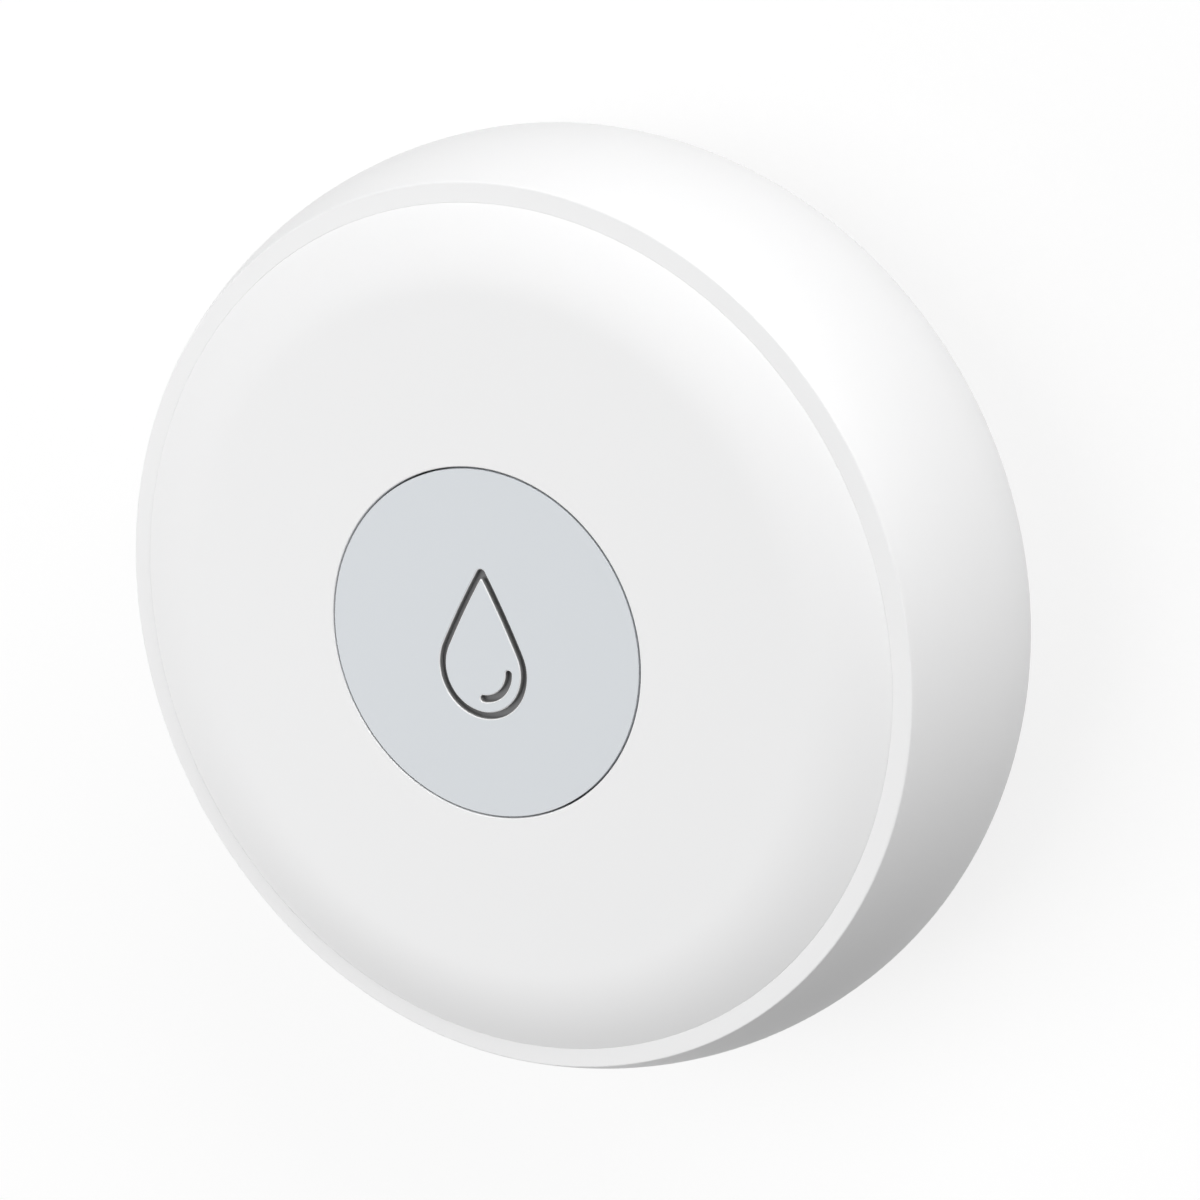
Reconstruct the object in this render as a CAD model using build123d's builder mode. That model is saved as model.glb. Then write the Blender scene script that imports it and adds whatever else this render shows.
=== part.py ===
from build123d import *
from math import atan2, cos, degrees, radians, sin
import os

os.makedirs("parts", exist_ok=True)

# A round water leak sensor, lying face up on the floor as it is used.
# Millimetres, +Z up, origin on the floor under the centre, +Y towards the droplet's tip.
# It is laid out from the inside: the bay goes round the coin cell, the screws go round the bay,
# and the case goes round the screws. Its height is the stack from the probes to the button.

# Outer form of the case, outward from the back face
back_face_margin = 1.2
belly_overhang = 5.9
rim_inset = 2.35
belly_drop = 9.5
rim_width = 1.2
dome_rise = 1.3
dome_run = 5.25
back_edge_fillet = 1.2

# Case walls
floor_thickness = 2.0
floor_corner_inset = 0.93
corner_wall = 2.2
gasket_ledge_width = 0.9
cover_edge_depth = 1.6
cover_thickness = 2.0
gasket_thickness = 0.6
gasket_edge_gap = 0.05
lip_gap = 0.15
lip_wall = 1.05
lip_height = 1.5

# Coin cell
cell_diameter = 24.5
cell_height = 5.0
cell_cap_inset = 1.15
cell_cap_height = 0.6
cell_edge_chamfer = 0.35
cell_to_board_gap = 2.2

# Battery door and its bayonet
door_flange_thickness = 1.2
door_plate_thickness = 1.6
door_edge_chamfer = 0.3
cell_to_cup_gap = 0.35
cup_wall = 1.0
door_gap = 0.2
lug_count = 3
lug_reach = 1.1
lug_thickness = 1.0
lug_lift = 0.1
lug_angle = 28.0
tab_angle = 36.0
tab_thickness = 1.4
lug_to_wall_gap = 0.3
twist_angle = 35.0
stop_angle = 4.0
stop_play_angle = 1.0
seal_width = 1.1
seal_thickness = 0.6
flange_overhang = 0.2
coin_slot_length = 14.0
coin_slot_width = 1.8
coin_slot_depth = 0.9
index_mark_radius = 0.45
index_mark_depth = 0.3
index_mark_inset = 1.1

# Battery bay in the housing
bay_wall = 1.6
bay_foot_width = 1.6
bay_to_board_gap = 0.4
bay_rib_count = 6
bay_rib_width = 1.6
bay_rib_gap = 0.25
bay_rib_lift = 0.3

# Probe screws, which sense the water, stand on the floor and carry the board
probe_count = 4
probe_margin = 1.1
probe_height = 0.8
probe_head_diameter = 4.5
probe_head_height = 1.6
probe_head_chamfer = 0.45
probe_shank_diameter = 2.5
probe_engagement = 3.4
probe_recess_length = 2.2
probe_recess_width = 0.5
probe_recess_depth = 0.6
probe_seat_gap = 0.15
probe_hole_gap = 0.1
probe_boss_radius = 3.2
probe_boss_height = 2.0
probe_oring_chamfer = 0.22
probe_oring_inner_gap = 0.07
probe_oring_outer_gap = 0.28
standoff_across_flats = 4.4
standoff_bore_spare = 0.5
standoff_peg_radius = 1.1
thread_gap = 0.02

# Case screws, which pull the front cover down from the back
case_screw_count = 4
case_screw_margin = 2.2
case_screw_head_diameter = 3.8
case_screw_head_height = 1.3
case_screw_head_chamfer = 0.3
case_screw_head_sink = 0.3
case_screw_shank_diameter = 2.0
case_screw_length = 10.0
case_screw_recess_length = 2.0
case_screw_recess_width = 0.45
case_screw_recess_depth = 0.6
case_screw_seat_gap = 0.2
case_screw_hole_gap = 0.15
case_screw_boss_radius = 3.3
case_screw_boss_height = 2.2
post_radius = 2.4
post_gap = 0.05
post_bore_spare = 1.0
post_gusset_height = 5.0
post_gusset_reach = 2.0
post_gusset_width = 1.0

# Circuit board
board_edge_margin = 1.2
board_thickness = 1.2
board_notch_gap = 0.3
board_hole_gap = 0.05

# Button cap and the droplet engraved in it
button_radius = 10.83
button_gap = 0.1
button_edge_chamfer = 0.05
button_plate_thickness = 1.2
button_skirt_wall = 1.2
button_flange_reach = 1.2
button_flange_thickness = 0.8
button_flange_gap = 0.05
button_travel = 0.3
button_spare_drop = 0.2
stem_radius = 1.6
key_width = 1.5
key_reach = 1.1
key_gap = 0.15
groove_depth = 0.5
window_thickness = 0.12
droplet_radius = 3.11
droplet_apex_height = 6.62
droplet_tip_fillet = 0.32
droplet_island_fillet = 0.1
droplet_shoulder_angle = 25.0
droplet_stroke = 0.42
droplet_shift = 1.58
glint_radius = 1.83
glint_stroke = 0.44

# Well under the button, with its membrane and clamp ring
guide_collar_height = 1.15
well_gap = 0.5
well_wall = 1.8
membrane_bead_thickness = 0.8
membrane_bead_inset = 0.4
membrane_web_thickness = 0.4
membrane_boss_radius = 2.6
membrane_boss_thickness = 1.0
membrane_fold_drop = 0.6
membrane_fold_width = 3.0
membrane_fold_inset = 2.0
clamp_thickness = 1.0
clamp_overlap = 0.9
clamp_ear_count = 4
clamp_ear_offset = 1.67
clamp_ear_radius = 1.9
clamp_hole_gap = 0.15
clamp_screw_head_diameter = 3.0
clamp_screw_head_height = 0.8
clamp_screw_head_chamfer = 0.2
clamp_screw_shank_diameter = 1.4
clamp_screw_length = 3.4
clamp_screw_recess_length = 1.6
clamp_screw_recess_width = 0.35
clamp_screw_recess_depth = 0.4
clamp_bore_spare = 0.3

# Light guide under the button cap
guide_plate_thickness = 1.2
guide_edge_gap = 0.2
guide_ring_inner_radius = 4.5
guide_ring_outer_radius = 7.5
guide_ring_height = 1.3
guide_ring_chamfer = 0.35

# Switch under the button
switch_size = 6.0
switch_height = 3.5
switch_corner_chamfer = 0.4
switch_collar_wall = 0.7
switch_collar_height = 0.5
plunger_radius = 1.75
plunger_gap = 0.08
plunger_hidden = 1.8
plunger_reach = 1.7
plunger_room = 0.5
switch_leg_width = 0.7
switch_leg_reach = 1.0
switch_leg_thickness = 0.2
switch_leg_pitch = 4.5

# Parts soldered on the board
led_length = 3.5
led_width = 2.8
led_height = 1.9
led_cup_radius = 1.1
led_cup_depth = 0.5
module_length = 16.0
module_width = 13.0
module_thickness = 0.8
can_to_antenna_gap = 0.9
can_width = 11.0
can_height = 2.2
can_wall = 0.2
can_corner_fillet = 0.8
can_end_margin = 0.6
antenna_width = 0.5
antenna_thickness = 0.1
antenna_pitch = 1.1
antenna_reach = 3.2
antenna_turns = 8
antenna_end_margin = 0.7
chip_length = 4.9
chip_width = 3.9
chip_height = 1.5
chip_lift = 0.15
chip_pin_count = 4
chip_pin_pitch = 1.27
chip_pin_width = 0.42
chip_pin_reach = 1.0
chip_pin_thickness = 0.2
small_part_length = 2.0
small_part_width = 1.25
small_part_height = 0.8
small_part_end_share = 0.22
small_part_end_growth = 0.05
small_part_place_shares = [
    (0.52, -0.12), (0.52, -0.26), (0.40, -0.40),
    (-0.42, -0.26), (-0.56, -0.16), (-0.62, 0.12),
]

# Spring contacts under the board
contact_thickness = 0.25
contact_width = 3.0
contact_bend_radius = 0.6
negative_pad_length = 4.0
negative_reach = 4.5
negative_tip_length = 1.8
negative_tip_lift = 0.7
positive_pad_length = 3.6
positive_wall_gap = 0.6
positive_tip_gap = 0.8
positive_tip_length = 0.8
positive_tip_lean = 0.7

# Radii and heights of the battery door and bay
back_z = probe_height
floor_z = back_z + floor_thickness
cell_radius = cell_diameter / 2
cup_inner_radius = cell_radius + cell_to_cup_gap
cup_outer_radius = cup_inner_radius + cup_wall
tab_radius = cup_outer_radius + door_gap
lug_radius = cup_outer_radius + lug_reach
bay_radius = lug_radius + lug_to_wall_gap
seal_outer_radius = bay_radius + seal_width
flange_radius = seal_outer_radius + flange_overhang
recess_radius = flange_radius + door_gap
bay_foot_radius = recess_radius + bay_foot_width
recess_z = back_z + door_flange_thickness + seal_thickness
tab_z = recess_z + tab_thickness
lug_z = tab_z + lug_lift
cup_top_z = lug_z + lug_thickness
cell_z = back_z + door_plate_thickness
cell_top_z = cell_z + cell_height
passage_angle = 360 / lug_count - tab_angle

# Circles of the screws round the bay, and radii of the outer form round them
probe_seat_radius = probe_head_diameter / 2 + probe_seat_gap
probe_circle_radius = recess_radius + probe_margin + probe_seat_radius
oring_inner_radius = probe_shank_diameter / 2 + probe_oring_inner_gap
oring_section = probe_seat_radius - probe_oring_outer_gap - oring_inner_radius
case_screw_seat_radius = case_screw_head_diameter / 2 + case_screw_seat_gap
case_screw_circle_radius = recess_radius + case_screw_margin + case_screw_seat_radius
back_radius = case_screw_circle_radius + case_screw_seat_radius + back_face_margin
body_radius = back_radius + belly_overhang
rim_radius = body_radius - rim_inset
cover_radius = rim_radius - rim_width
flat_radius = cover_radius - dome_run
cavity_radius = cover_radius - gasket_ledge_width
lip_radius = cavity_radius - lip_gap
board_radius = probe_circle_radius + standoff_peg_radius + board_edge_margin

# Heights of the board and what stands on it
probe_boss_z = probe_head_height + oring_section + probe_boss_height
board_z = cell_top_z + cell_to_board_gap
board_top_z = board_z + board_thickness
bay_top_z = board_z - bay_to_board_gap
switch_top_z = board_top_z + switch_height
post_seat_z = back_z + case_screw_head_sink + case_screw_head_height + case_screw_boss_height

# Heights of the button's well and of the outer form over it
plunger_top_z = switch_top_z + plunger_reach
stem_z = plunger_top_z + membrane_boss_thickness
well_z = stem_z
flange_z = well_z + button_travel + button_spare_drop
flange_top_z = flange_z + button_flange_thickness
collar_z = flange_top_z + button_flange_gap
cover_under_z = collar_z + guide_collar_height
top_z = cover_under_z + cover_thickness
rim_z = top_z - dome_rise
belly_z = rim_z - belly_drop
cover_seat_z = rim_z - cover_edge_depth
ledge_z = cover_seat_z - gasket_thickness
plate_under_z = top_z - button_plate_thickness
groove_z = top_z - groove_depth
membrane_z = well_z - membrane_bead_thickness
membrane_mid_z = well_z - membrane_bead_thickness / 2
clamp_z = membrane_z - clamp_thickness

# Radii of the button and its well
button_hole_radius = button_radius + button_gap
skirt_inner_radius = button_radius - button_skirt_wall
button_flange_radius = button_radius + button_flange_reach
well_radius = button_flange_radius + well_gap
well_outer_radius = well_radius + well_wall
clamp_ear_circle_radius = well_outer_radius + clamp_ear_offset
clamp_ear_angle = 180 / clamp_ear_count

# Places on the board: lamps under the guide's ring, chip and module midway from switch to posts
led_distance = (guide_ring_inner_radius + guide_ring_outer_radius) / 2
middle_distance = (switch_size / 2 + case_screw_circle_radius - post_radius) / 2


def ring_sector(inner, outer, centre_angle, width_angle):
    """A flat piece of a ring about the origin."""
    start = centre_angle - width_angle / 2
    with BuildSketch() as sector:
        with BuildLine():
            outer_arc = CenterArc((0, 0), outer, start, width_angle)
            inner_arc = CenterArc((0, 0), inner, start, width_angle)
            Line(outer_arc @ 0, inner_arc @ 0)
            Line(outer_arc @ 1, inner_arc @ 1)
        make_face()
    return sector.sketch


def droplet_face(inset, tip_fillet):
    """The droplet's outline, drawn in from its outer edge by inset."""
    shoulder_x = droplet_radius * cos(radians(droplet_shoulder_angle))
    shoulder_y = droplet_radius * sin(radians(droplet_shoulder_angle))
    chord_angle = degrees(atan2(shoulder_x, droplet_apex_height - shoulder_y))
    apex_half_angle = 2 * chord_angle - droplet_shoulder_angle
    radius = droplet_radius - inset
    apex = (0, droplet_apex_height - inset / sin(radians(apex_half_angle)))
    direction = (-sin(radians(droplet_shoulder_angle)), cos(radians(droplet_shoulder_angle)))
    with BuildSketch() as outline:
        with BuildLine():
            bowl = CenterArc((0, 0), radius, 180 - droplet_shoulder_angle, 180 + 2 * droplet_shoulder_angle)
            TangentArc(bowl @ 1, apex, tangent=direction)
            TangentArc(bowl @ 0, apex, tangent=(-direction[0], direction[1]))
        make_face()
        fillet(outline.vertices().sort_by(Axis.Y)[-1], tip_fillet)
    return outline.sketch


def pan_screw(head_z, head_diameter, head_height, shank_diameter, shank_length, recess):
    """A screw that stands head down on the axis, with a cross recess in its head."""
    recess_length, recess_width, recess_depth, head_chamfer = recess
    with BuildPart() as screw:
        with BuildSketch(Plane.XY.offset(head_z)):
            Circle(head_diameter / 2)
        extrude(amount=head_height)
        chamfer(screw.edges().sort_by(Axis.Z)[0], head_chamfer)
        with BuildSketch(Plane.XY.offset(head_z + head_height)):
            Circle(shank_diameter / 2)
        extrude(amount=shank_length)
        with BuildSketch(Plane.XY.offset(head_z)):
            Rectangle(recess_length, recess_width)
            Rectangle(recess_width, recess_length)
        extrude(amount=recess_depth, mode=Mode.SUBTRACT)
    return screw.part


# Housing: side wall and back in one moulding
inner_belly_radius = body_radius - corner_wall
floor_corner_radius = back_radius - floor_corner_inset
lug_face = ring_sector(cup_outer_radius - cup_wall / 2, lug_radius, 0, lug_angle)
passage_face = ring_sector(tab_radius - door_gap, bay_radius, 180 / lug_count, passage_angle)
lock_stop_angle = lug_angle / 2 + stop_play_angle + stop_angle / 2
open_stop_angle = -twist_angle - lug_angle / 2 - stop_play_angle - stop_angle / 2
lock_stop_face = ring_sector(tab_radius, bay_radius + bay_wall / 2, lock_stop_angle, stop_angle)
open_stop_face = ring_sector(tab_radius, bay_radius + bay_wall / 2, open_stop_angle, stop_angle)

with BuildPart() as housing:
    with BuildSketch(Plane.XZ):
        with BuildLine():
            Line((0, back_z), (back_radius, back_z))
            TangentArc((body_radius, belly_z), (back_radius, back_z), tangent=(0, -1))
            TangentArc((body_radius, belly_z), (rim_radius, rim_z), tangent=(0, 1))
            Line((rim_radius, rim_z), (0, rim_z))
            Line((0, rim_z), (0, back_z))
        make_face()
    revolve(axis=Axis.Z)
    back_edge = housing.edges().filter_by(GeomType.CIRCLE).sort_by(Axis.Z)[0]
    fillet(back_edge, back_edge_fillet)
    with BuildSketch(Plane.XZ):
        with BuildLine():
            Line((0, floor_z), (floor_corner_radius, floor_z))
            TangentArc((inner_belly_radius, belly_z), (floor_corner_radius, floor_z), tangent=(0, -1))
            Line((inner_belly_radius, belly_z), (inner_belly_radius, ledge_z))
            Line((inner_belly_radius, ledge_z), (0, ledge_z))
            Line((0, ledge_z), (0, floor_z))
        make_face()
        with Locations((0, floor_z)):
            Rectangle(cavity_radius, ledge_z - floor_z, align=(Align.MIN, Align.MIN), mode=Mode.INTERSECT)
    revolve(axis=Axis.Z, mode=Mode.SUBTRACT)
    with BuildSketch(Plane.XY.offset(ledge_z)):
        Circle(cover_radius)
    extrude(amount=rim_z - ledge_z, mode=Mode.SUBTRACT)
    with BuildSketch(Plane.XY.offset(back_z + floor_thickness / 2)):
        Circle(bay_foot_radius)
    extrude(amount=tab_z - back_z - floor_thickness / 2)
    with BuildSketch(Plane.XY.offset(back_z + floor_thickness / 2)):
        Circle(bay_radius + bay_wall)
    extrude(amount=bay_top_z - back_z - floor_thickness / 2)
    with BuildSketch(Plane.XY.offset(back_z + floor_thickness / 2)):
        with PolarLocations(probe_circle_radius, probe_count, start_angle=180 / probe_count):
            Circle(probe_boss_radius)
    extrude(amount=probe_boss_z - back_z - floor_thickness / 2)
    with BuildSketch(Plane.XY.offset(back_z + floor_thickness / 2)):
        with PolarLocations(case_screw_circle_radius, case_screw_count):
            Circle(case_screw_boss_radius)
    extrude(amount=post_seat_z - back_z - floor_thickness / 2)
    with BuildSketch(Plane.XY.offset(tab_z)):
        Circle(bay_radius)
    extrude(amount=bay_top_z - tab_z, mode=Mode.SUBTRACT)
    with BuildSketch(Plane.XY.offset(recess_z)):
        Circle(tab_radius)
        with PolarLocations(0, lug_count):
            add(passage_face)
    extrude(amount=tab_thickness, mode=Mode.SUBTRACT)
    with BuildSketch(Plane.XY.offset(back_z)):
        Circle(recess_radius)
    extrude(amount=recess_z - back_z, mode=Mode.SUBTRACT)
    with BuildSketch(Plane.XY.offset(tab_z)):
        with PolarLocations(0, lug_count):
            add(lock_stop_face)
            add(open_stop_face)
    extrude(amount=lug_lift + lug_thickness)
    rib_length = bay_radius + bay_wall / 2 - cell_radius - bay_rib_gap
    with BuildSketch(Plane.XY.offset(cup_top_z + bay_rib_lift)):
        with PolarLocations(cell_radius + bay_rib_gap, bay_rib_count, start_angle=180 / bay_rib_count):
            Rectangle(rib_length, bay_rib_width, align=(Align.MIN, Align.CENTER))
    extrude(amount=bay_top_z - cup_top_z - bay_rib_lift)
    with BuildSketch(Plane.XY.offset(back_z)):
        with PolarLocations(probe_circle_radius, probe_count, start_angle=180 / probe_count):
            Circle(probe_seat_radius)
    extrude(amount=probe_boss_z - probe_boss_height - back_z, mode=Mode.SUBTRACT)
    with BuildSketch(Plane.XY.offset(back_z)):
        with PolarLocations(probe_circle_radius, probe_count, start_angle=180 / probe_count):
            Circle(probe_shank_diameter / 2 + probe_hole_gap)
    extrude(amount=probe_boss_z - back_z, mode=Mode.SUBTRACT)
    with BuildSketch(Plane.XY.offset(back_z)):
        with PolarLocations(case_screw_circle_radius, case_screw_count):
            Circle(case_screw_seat_radius)
    extrude(amount=case_screw_head_sink + case_screw_head_height, mode=Mode.SUBTRACT)
    with BuildSketch(Plane.XY.offset(back_z)):
        with PolarLocations(case_screw_circle_radius, case_screw_count):
            Circle(case_screw_shank_diameter / 2 + case_screw_hole_gap)
    extrude(amount=post_seat_z - back_z, mode=Mode.SUBTRACT)
    with BuildSketch(Plane.XY.offset(back_z)):
        with PolarLocations(recess_radius + index_mark_inset, 1, start_angle=-90):
            Circle(index_mark_radius)
        with PolarLocations(recess_radius + index_mark_inset, 1, start_angle=-90 - twist_angle):
            Circle(index_mark_radius)
    extrude(amount=index_mark_depth, mode=Mode.SUBTRACT)
housing.part.label = "housing"
export_step(housing.part, "parts/housing.step")

# Front cover: the pillow-shaped face, with the button's well and the screw posts behind it
with BuildPart() as front_cover:
    with BuildSketch(Plane.XZ):
        with BuildLine():
            Line((button_hole_radius, cover_under_z), (button_hole_radius, top_z))
            Line((button_hole_radius, top_z), (flat_radius, top_z))
            TangentArc((flat_radius, top_z), (cover_radius, rim_z), tangent=(1, 0))
            Line((cover_radius, rim_z), (cover_radius, cover_seat_z))
            Line((cover_radius, cover_seat_z), (lip_radius, cover_seat_z))
            Line((lip_radius, cover_seat_z), (lip_radius, cover_seat_z - lip_height))
            Line((lip_radius, cover_seat_z - lip_height), (lip_radius - lip_wall, cover_seat_z - lip_height))
            Line((lip_radius - lip_wall, cover_seat_z - lip_height), (lip_radius - lip_wall, cover_under_z))
            Line((lip_radius - lip_wall, cover_under_z), (button_hole_radius, cover_under_z))
        make_face()
    revolve(axis=Axis.Z)
    chamfer(front_cover.edges().filter_by(GeomType.CIRCLE).group_by(Axis.Z)[-1].sort_by(SortBy.RADIUS)[0],
            button_edge_chamfer)
    with BuildSketch(Plane.XY.offset(collar_z)):
        Circle(well_outer_radius)
        Circle(button_hole_radius, mode=Mode.SUBTRACT)
    extrude(amount=cover_under_z - collar_z)
    with BuildSketch(Plane.XY.offset(well_z)):
        Circle(well_outer_radius)
        Circle(well_radius, mode=Mode.SUBTRACT)
        for side in (0, 180):
            with PolarLocations(well_radius - key_reach, 1, start_angle=side):
                Rectangle(key_reach + well_wall / 2, key_width, align=(Align.MIN, Align.CENTER))
    extrude(amount=collar_z - well_z)
    with BuildSketch(Plane.XY.offset(membrane_z)):
        with PolarLocations(clamp_ear_circle_radius, clamp_ear_count, start_angle=clamp_ear_angle):
            Circle(clamp_ear_radius)
    extrude(amount=cover_under_z - membrane_z)
    with BuildSketch(Plane.XY.offset(membrane_z)):
        with PolarLocations(clamp_ear_circle_radius, clamp_ear_count, start_angle=clamp_ear_angle):
            Circle(clamp_screw_shank_diameter / 2 + thread_gap)
    extrude(amount=clamp_screw_length - clamp_thickness + clamp_bore_spare, mode=Mode.SUBTRACT)
    with BuildSketch(Plane.XY.offset(post_seat_z + post_gap)):
        with PolarLocations(case_screw_circle_radius, case_screw_count):
            Circle(post_radius)
    extrude(amount=cover_under_z - post_seat_z - post_gap)
    for turn in range(case_screw_count):
        across = Plane.XZ.rotated((0, 0, 360 / case_screw_count * turn)).offset(-post_gusset_width / 2)
        with BuildSketch(across):
            with BuildLine():
                Polyline(
                    (case_screw_circle_radius, cover_under_z),
                    (case_screw_circle_radius - post_radius - post_gusset_reach, cover_under_z),
                    (case_screw_circle_radius - post_radius / 2, cover_under_z - post_gusset_height),
                    (case_screw_circle_radius, cover_under_z - post_gusset_height),
                    close=True,
                )
            make_face()
        extrude(amount=post_gusset_width)
    with BuildSketch(Plane.XY.offset(post_seat_z + post_gap)):
        with PolarLocations(case_screw_circle_radius, case_screw_count):
            Circle(case_screw_shank_diameter / 2 + thread_gap)
    extrude(amount=case_screw_length - case_screw_boss_height + post_bore_spare, mode=Mode.SUBTRACT)
front_cover.part.label = "front_cover"
export_step(front_cover.part, "parts/front_cover.step")

# Silicone gasket under the front cover's edge
with BuildPart() as cover_gasket:
    with BuildSketch(Plane.XY.offset(ledge_z)):
        Circle(cover_radius - gasket_edge_gap)
        Circle(cavity_radius, mode=Mode.SUBTRACT)
    extrude(amount=gasket_thickness)
cover_gasket.part.label = "cover_gasket"
export_step(cover_gasket.part, "parts/cover_gasket.step")

# Case screws
case_screw_recess = (case_screw_recess_length, case_screw_recess_width, case_screw_recess_depth,
                     case_screw_head_chamfer)
case_screw = pan_screw(back_z + case_screw_head_sink, case_screw_head_diameter, case_screw_head_height,
                       case_screw_shank_diameter, case_screw_length, case_screw_recess)
with BuildPart() as case_screws:
    with PolarLocations(case_screw_circle_radius, case_screw_count):
        add(case_screw)
case_screws.part.label = "case_screws"
export_step(case_screws.part, "parts/case_screws.step")

# Probe screws, whose heads touch the floor
probe_shank_length = probe_boss_z - probe_head_height + probe_engagement
probe_recess = (probe_recess_length, probe_recess_width, probe_recess_depth, probe_head_chamfer)
probe_screw = pan_screw(0, probe_head_diameter, probe_head_height, probe_shank_diameter,
                        probe_shank_length, probe_recess)
with BuildPart() as probe_screws:
    with PolarLocations(probe_circle_radius, probe_count, start_angle=180 / probe_count):
        add(probe_screw)
probe_screws.part.label = "probe_screws"
export_step(probe_screws.part, "parts/probe_screws.step")

# Sealing rings under the probe screws' heads, drawn with their round section's corners cut off
with BuildPart() as probe_oring:
    with BuildSketch(Plane.XZ) as oring_profile:
        with Locations((oring_inner_radius, probe_head_height)):
            Rectangle(oring_section, oring_section, align=(Align.MIN, Align.MIN))
        chamfer(oring_profile.vertices(), probe_oring_chamfer)
    revolve(axis=Axis.Z)
with BuildPart() as probe_orings:
    with PolarLocations(probe_circle_radius, probe_count, start_angle=180 / probe_count):
        add(probe_oring.part)
probe_orings.part.label = "probe_orings"
export_step(probe_orings.part, "parts/probe_orings.step")

# Threaded standoffs, soldered in the board and pulled down by the probe screws
with BuildPart() as probe_standoffs:
    with BuildSketch(Plane.XY.offset(probe_boss_z)):
        with PolarLocations(probe_circle_radius, probe_count, start_angle=180 / probe_count):
            RegularPolygon(standoff_across_flats / 2, 6, major_radius=False)
    extrude(amount=board_z - probe_boss_z)
    with BuildSketch(Plane.XY.offset(board_z)):
        with PolarLocations(probe_circle_radius, probe_count, start_angle=180 / probe_count):
            Circle(standoff_peg_radius)
    extrude(amount=board_thickness)
    with BuildSketch(Plane.XY.offset(probe_boss_z)):
        with PolarLocations(probe_circle_radius, probe_count, start_angle=180 / probe_count):
            Circle(probe_shank_diameter / 2 + thread_gap)
    extrude(amount=probe_engagement + standoff_bore_spare, mode=Mode.SUBTRACT)
probe_standoffs.part.label = "probe_standoffs"
export_step(probe_standoffs.part, "parts/probe_standoffs.step")

# Circuit board, notched round the cover's posts
with BuildPart() as circuit_board:
    with BuildSketch(Plane.XY.offset(board_z)):
        Circle(board_radius)
        with PolarLocations(case_screw_circle_radius, case_screw_count):
            Circle(post_radius + board_notch_gap, mode=Mode.SUBTRACT)
        with PolarLocations(probe_circle_radius, probe_count, start_angle=180 / probe_count):
            Circle(standoff_peg_radius + board_hole_gap, mode=Mode.SUBTRACT)
    extrude(amount=board_thickness)
circuit_board.part.label = "circuit_board"
export_step(circuit_board.part, "parts/circuit_board.step")

# Switch body, with the bore that its plunger slides in
with BuildPart() as tact_switch:
    with BuildSketch(Plane.XY.offset(board_top_z)):
        Rectangle(switch_size, switch_size)
    extrude(amount=switch_height)
    chamfer(tact_switch.edges().filter_by(Axis.Z), switch_corner_chamfer)
    with BuildSketch(Plane.XY.offset(switch_top_z)):
        Circle(plunger_radius + plunger_gap + switch_collar_wall)
    extrude(amount=switch_collar_height)
    with BuildSketch(Plane.XY.offset(switch_top_z + switch_collar_height)):
        Circle(plunger_radius + plunger_gap)
    extrude(amount=-switch_collar_height - plunger_hidden - plunger_room, mode=Mode.SUBTRACT)
    with BuildSketch(Plane.XY.offset(board_top_z)):
        with GridLocations(switch_size + switch_leg_reach, switch_leg_pitch, 2, 2):
            Rectangle(switch_leg_reach, switch_leg_width)
    extrude(amount=switch_leg_thickness)
tact_switch.part.label = "tact_switch"
export_step(tact_switch.part, "parts/tact_switch.step")

# Plunger, which moves with the button
with BuildPart() as switch_plunger:
    with BuildSketch(Plane.XY.offset(switch_top_z - plunger_hidden)):
        Circle(plunger_radius)
    extrude(amount=plunger_top_z - switch_top_z + plunger_hidden)
switch_plunger.part.label = "switch_plunger"
export_step(switch_plunger.part, "parts/switch_plunger.step")

# Two status lamps beside the switch
with BuildPart() as status_leds:
    with BuildSketch(Plane.XY.offset(board_top_z)):
        with GridLocations(2 * led_distance, 0, 2, 1):
            Rectangle(led_width, led_length)
    extrude(amount=led_height)
    with BuildSketch(Plane.XY.offset(board_top_z + led_height)):
        with GridLocations(2 * led_distance, 0, 2, 1):
            Circle(led_cup_radius)
    extrude(amount=-led_cup_depth, mode=Mode.SUBTRACT)
status_leds.part.label = "status_leds"
export_step(status_leds.part, "parts/status_leds.step")

# Radio module: a small board with a shielded circuit and a meander antenna beside it
module_top_z = board_top_z + module_thickness
antenna_x = module_length / 2 - antenna_end_margin - antenna_reach
antenna_y = middle_distance - antenna_pitch * antenna_turns / 2
can_x_start = -module_length / 2 + can_end_margin
can_x_end = antenna_x - can_to_antenna_gap
with BuildPart() as radio_module:
    with BuildSketch(Plane.XY.offset(board_top_z)):
        with Locations((0, middle_distance)):
            Rectangle(module_length, module_width)
    extrude(amount=module_thickness)
radio_module.part.label = "radio_module"
export_step(radio_module.part, "parts/radio_module.step")

with BuildPart() as shield_can:
    with BuildSketch(Plane.XY.offset(module_top_z)):
        with Locations(((can_x_start + can_x_end) / 2, middle_distance)):
            Rectangle(can_x_end - can_x_start, can_width)
    extrude(amount=can_height)
    fillet(shield_can.edges().filter_by(Axis.Z), can_corner_fillet)
    can_floor = shield_can.faces().sort_by(Axis.Z)[0]
    offset(amount=-can_wall, openings=can_floor)
shield_can.part.label = "shield_can"
export_step(shield_can.part, "parts/shield_can.step")

antenna_points = []
for turn in range(antenna_turns + 1):
    ends = (0, antenna_reach) if turn % 2 == 0 else (antenna_reach, 0)
    for end in ends:
        antenna_points.append((antenna_x + end, antenna_y + antenna_pitch * turn))
with BuildPart() as antenna_trace:
    with BuildSketch(Plane.XY.offset(module_top_z)):
        with BuildLine():
            Polyline(*antenna_points)
        trace(line_width=antenna_width)
    extrude(amount=antenna_thickness)
antenna_trace.part.label = "antenna_trace"
export_step(antenna_trace.part, "parts/antenna_trace.step")

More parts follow.
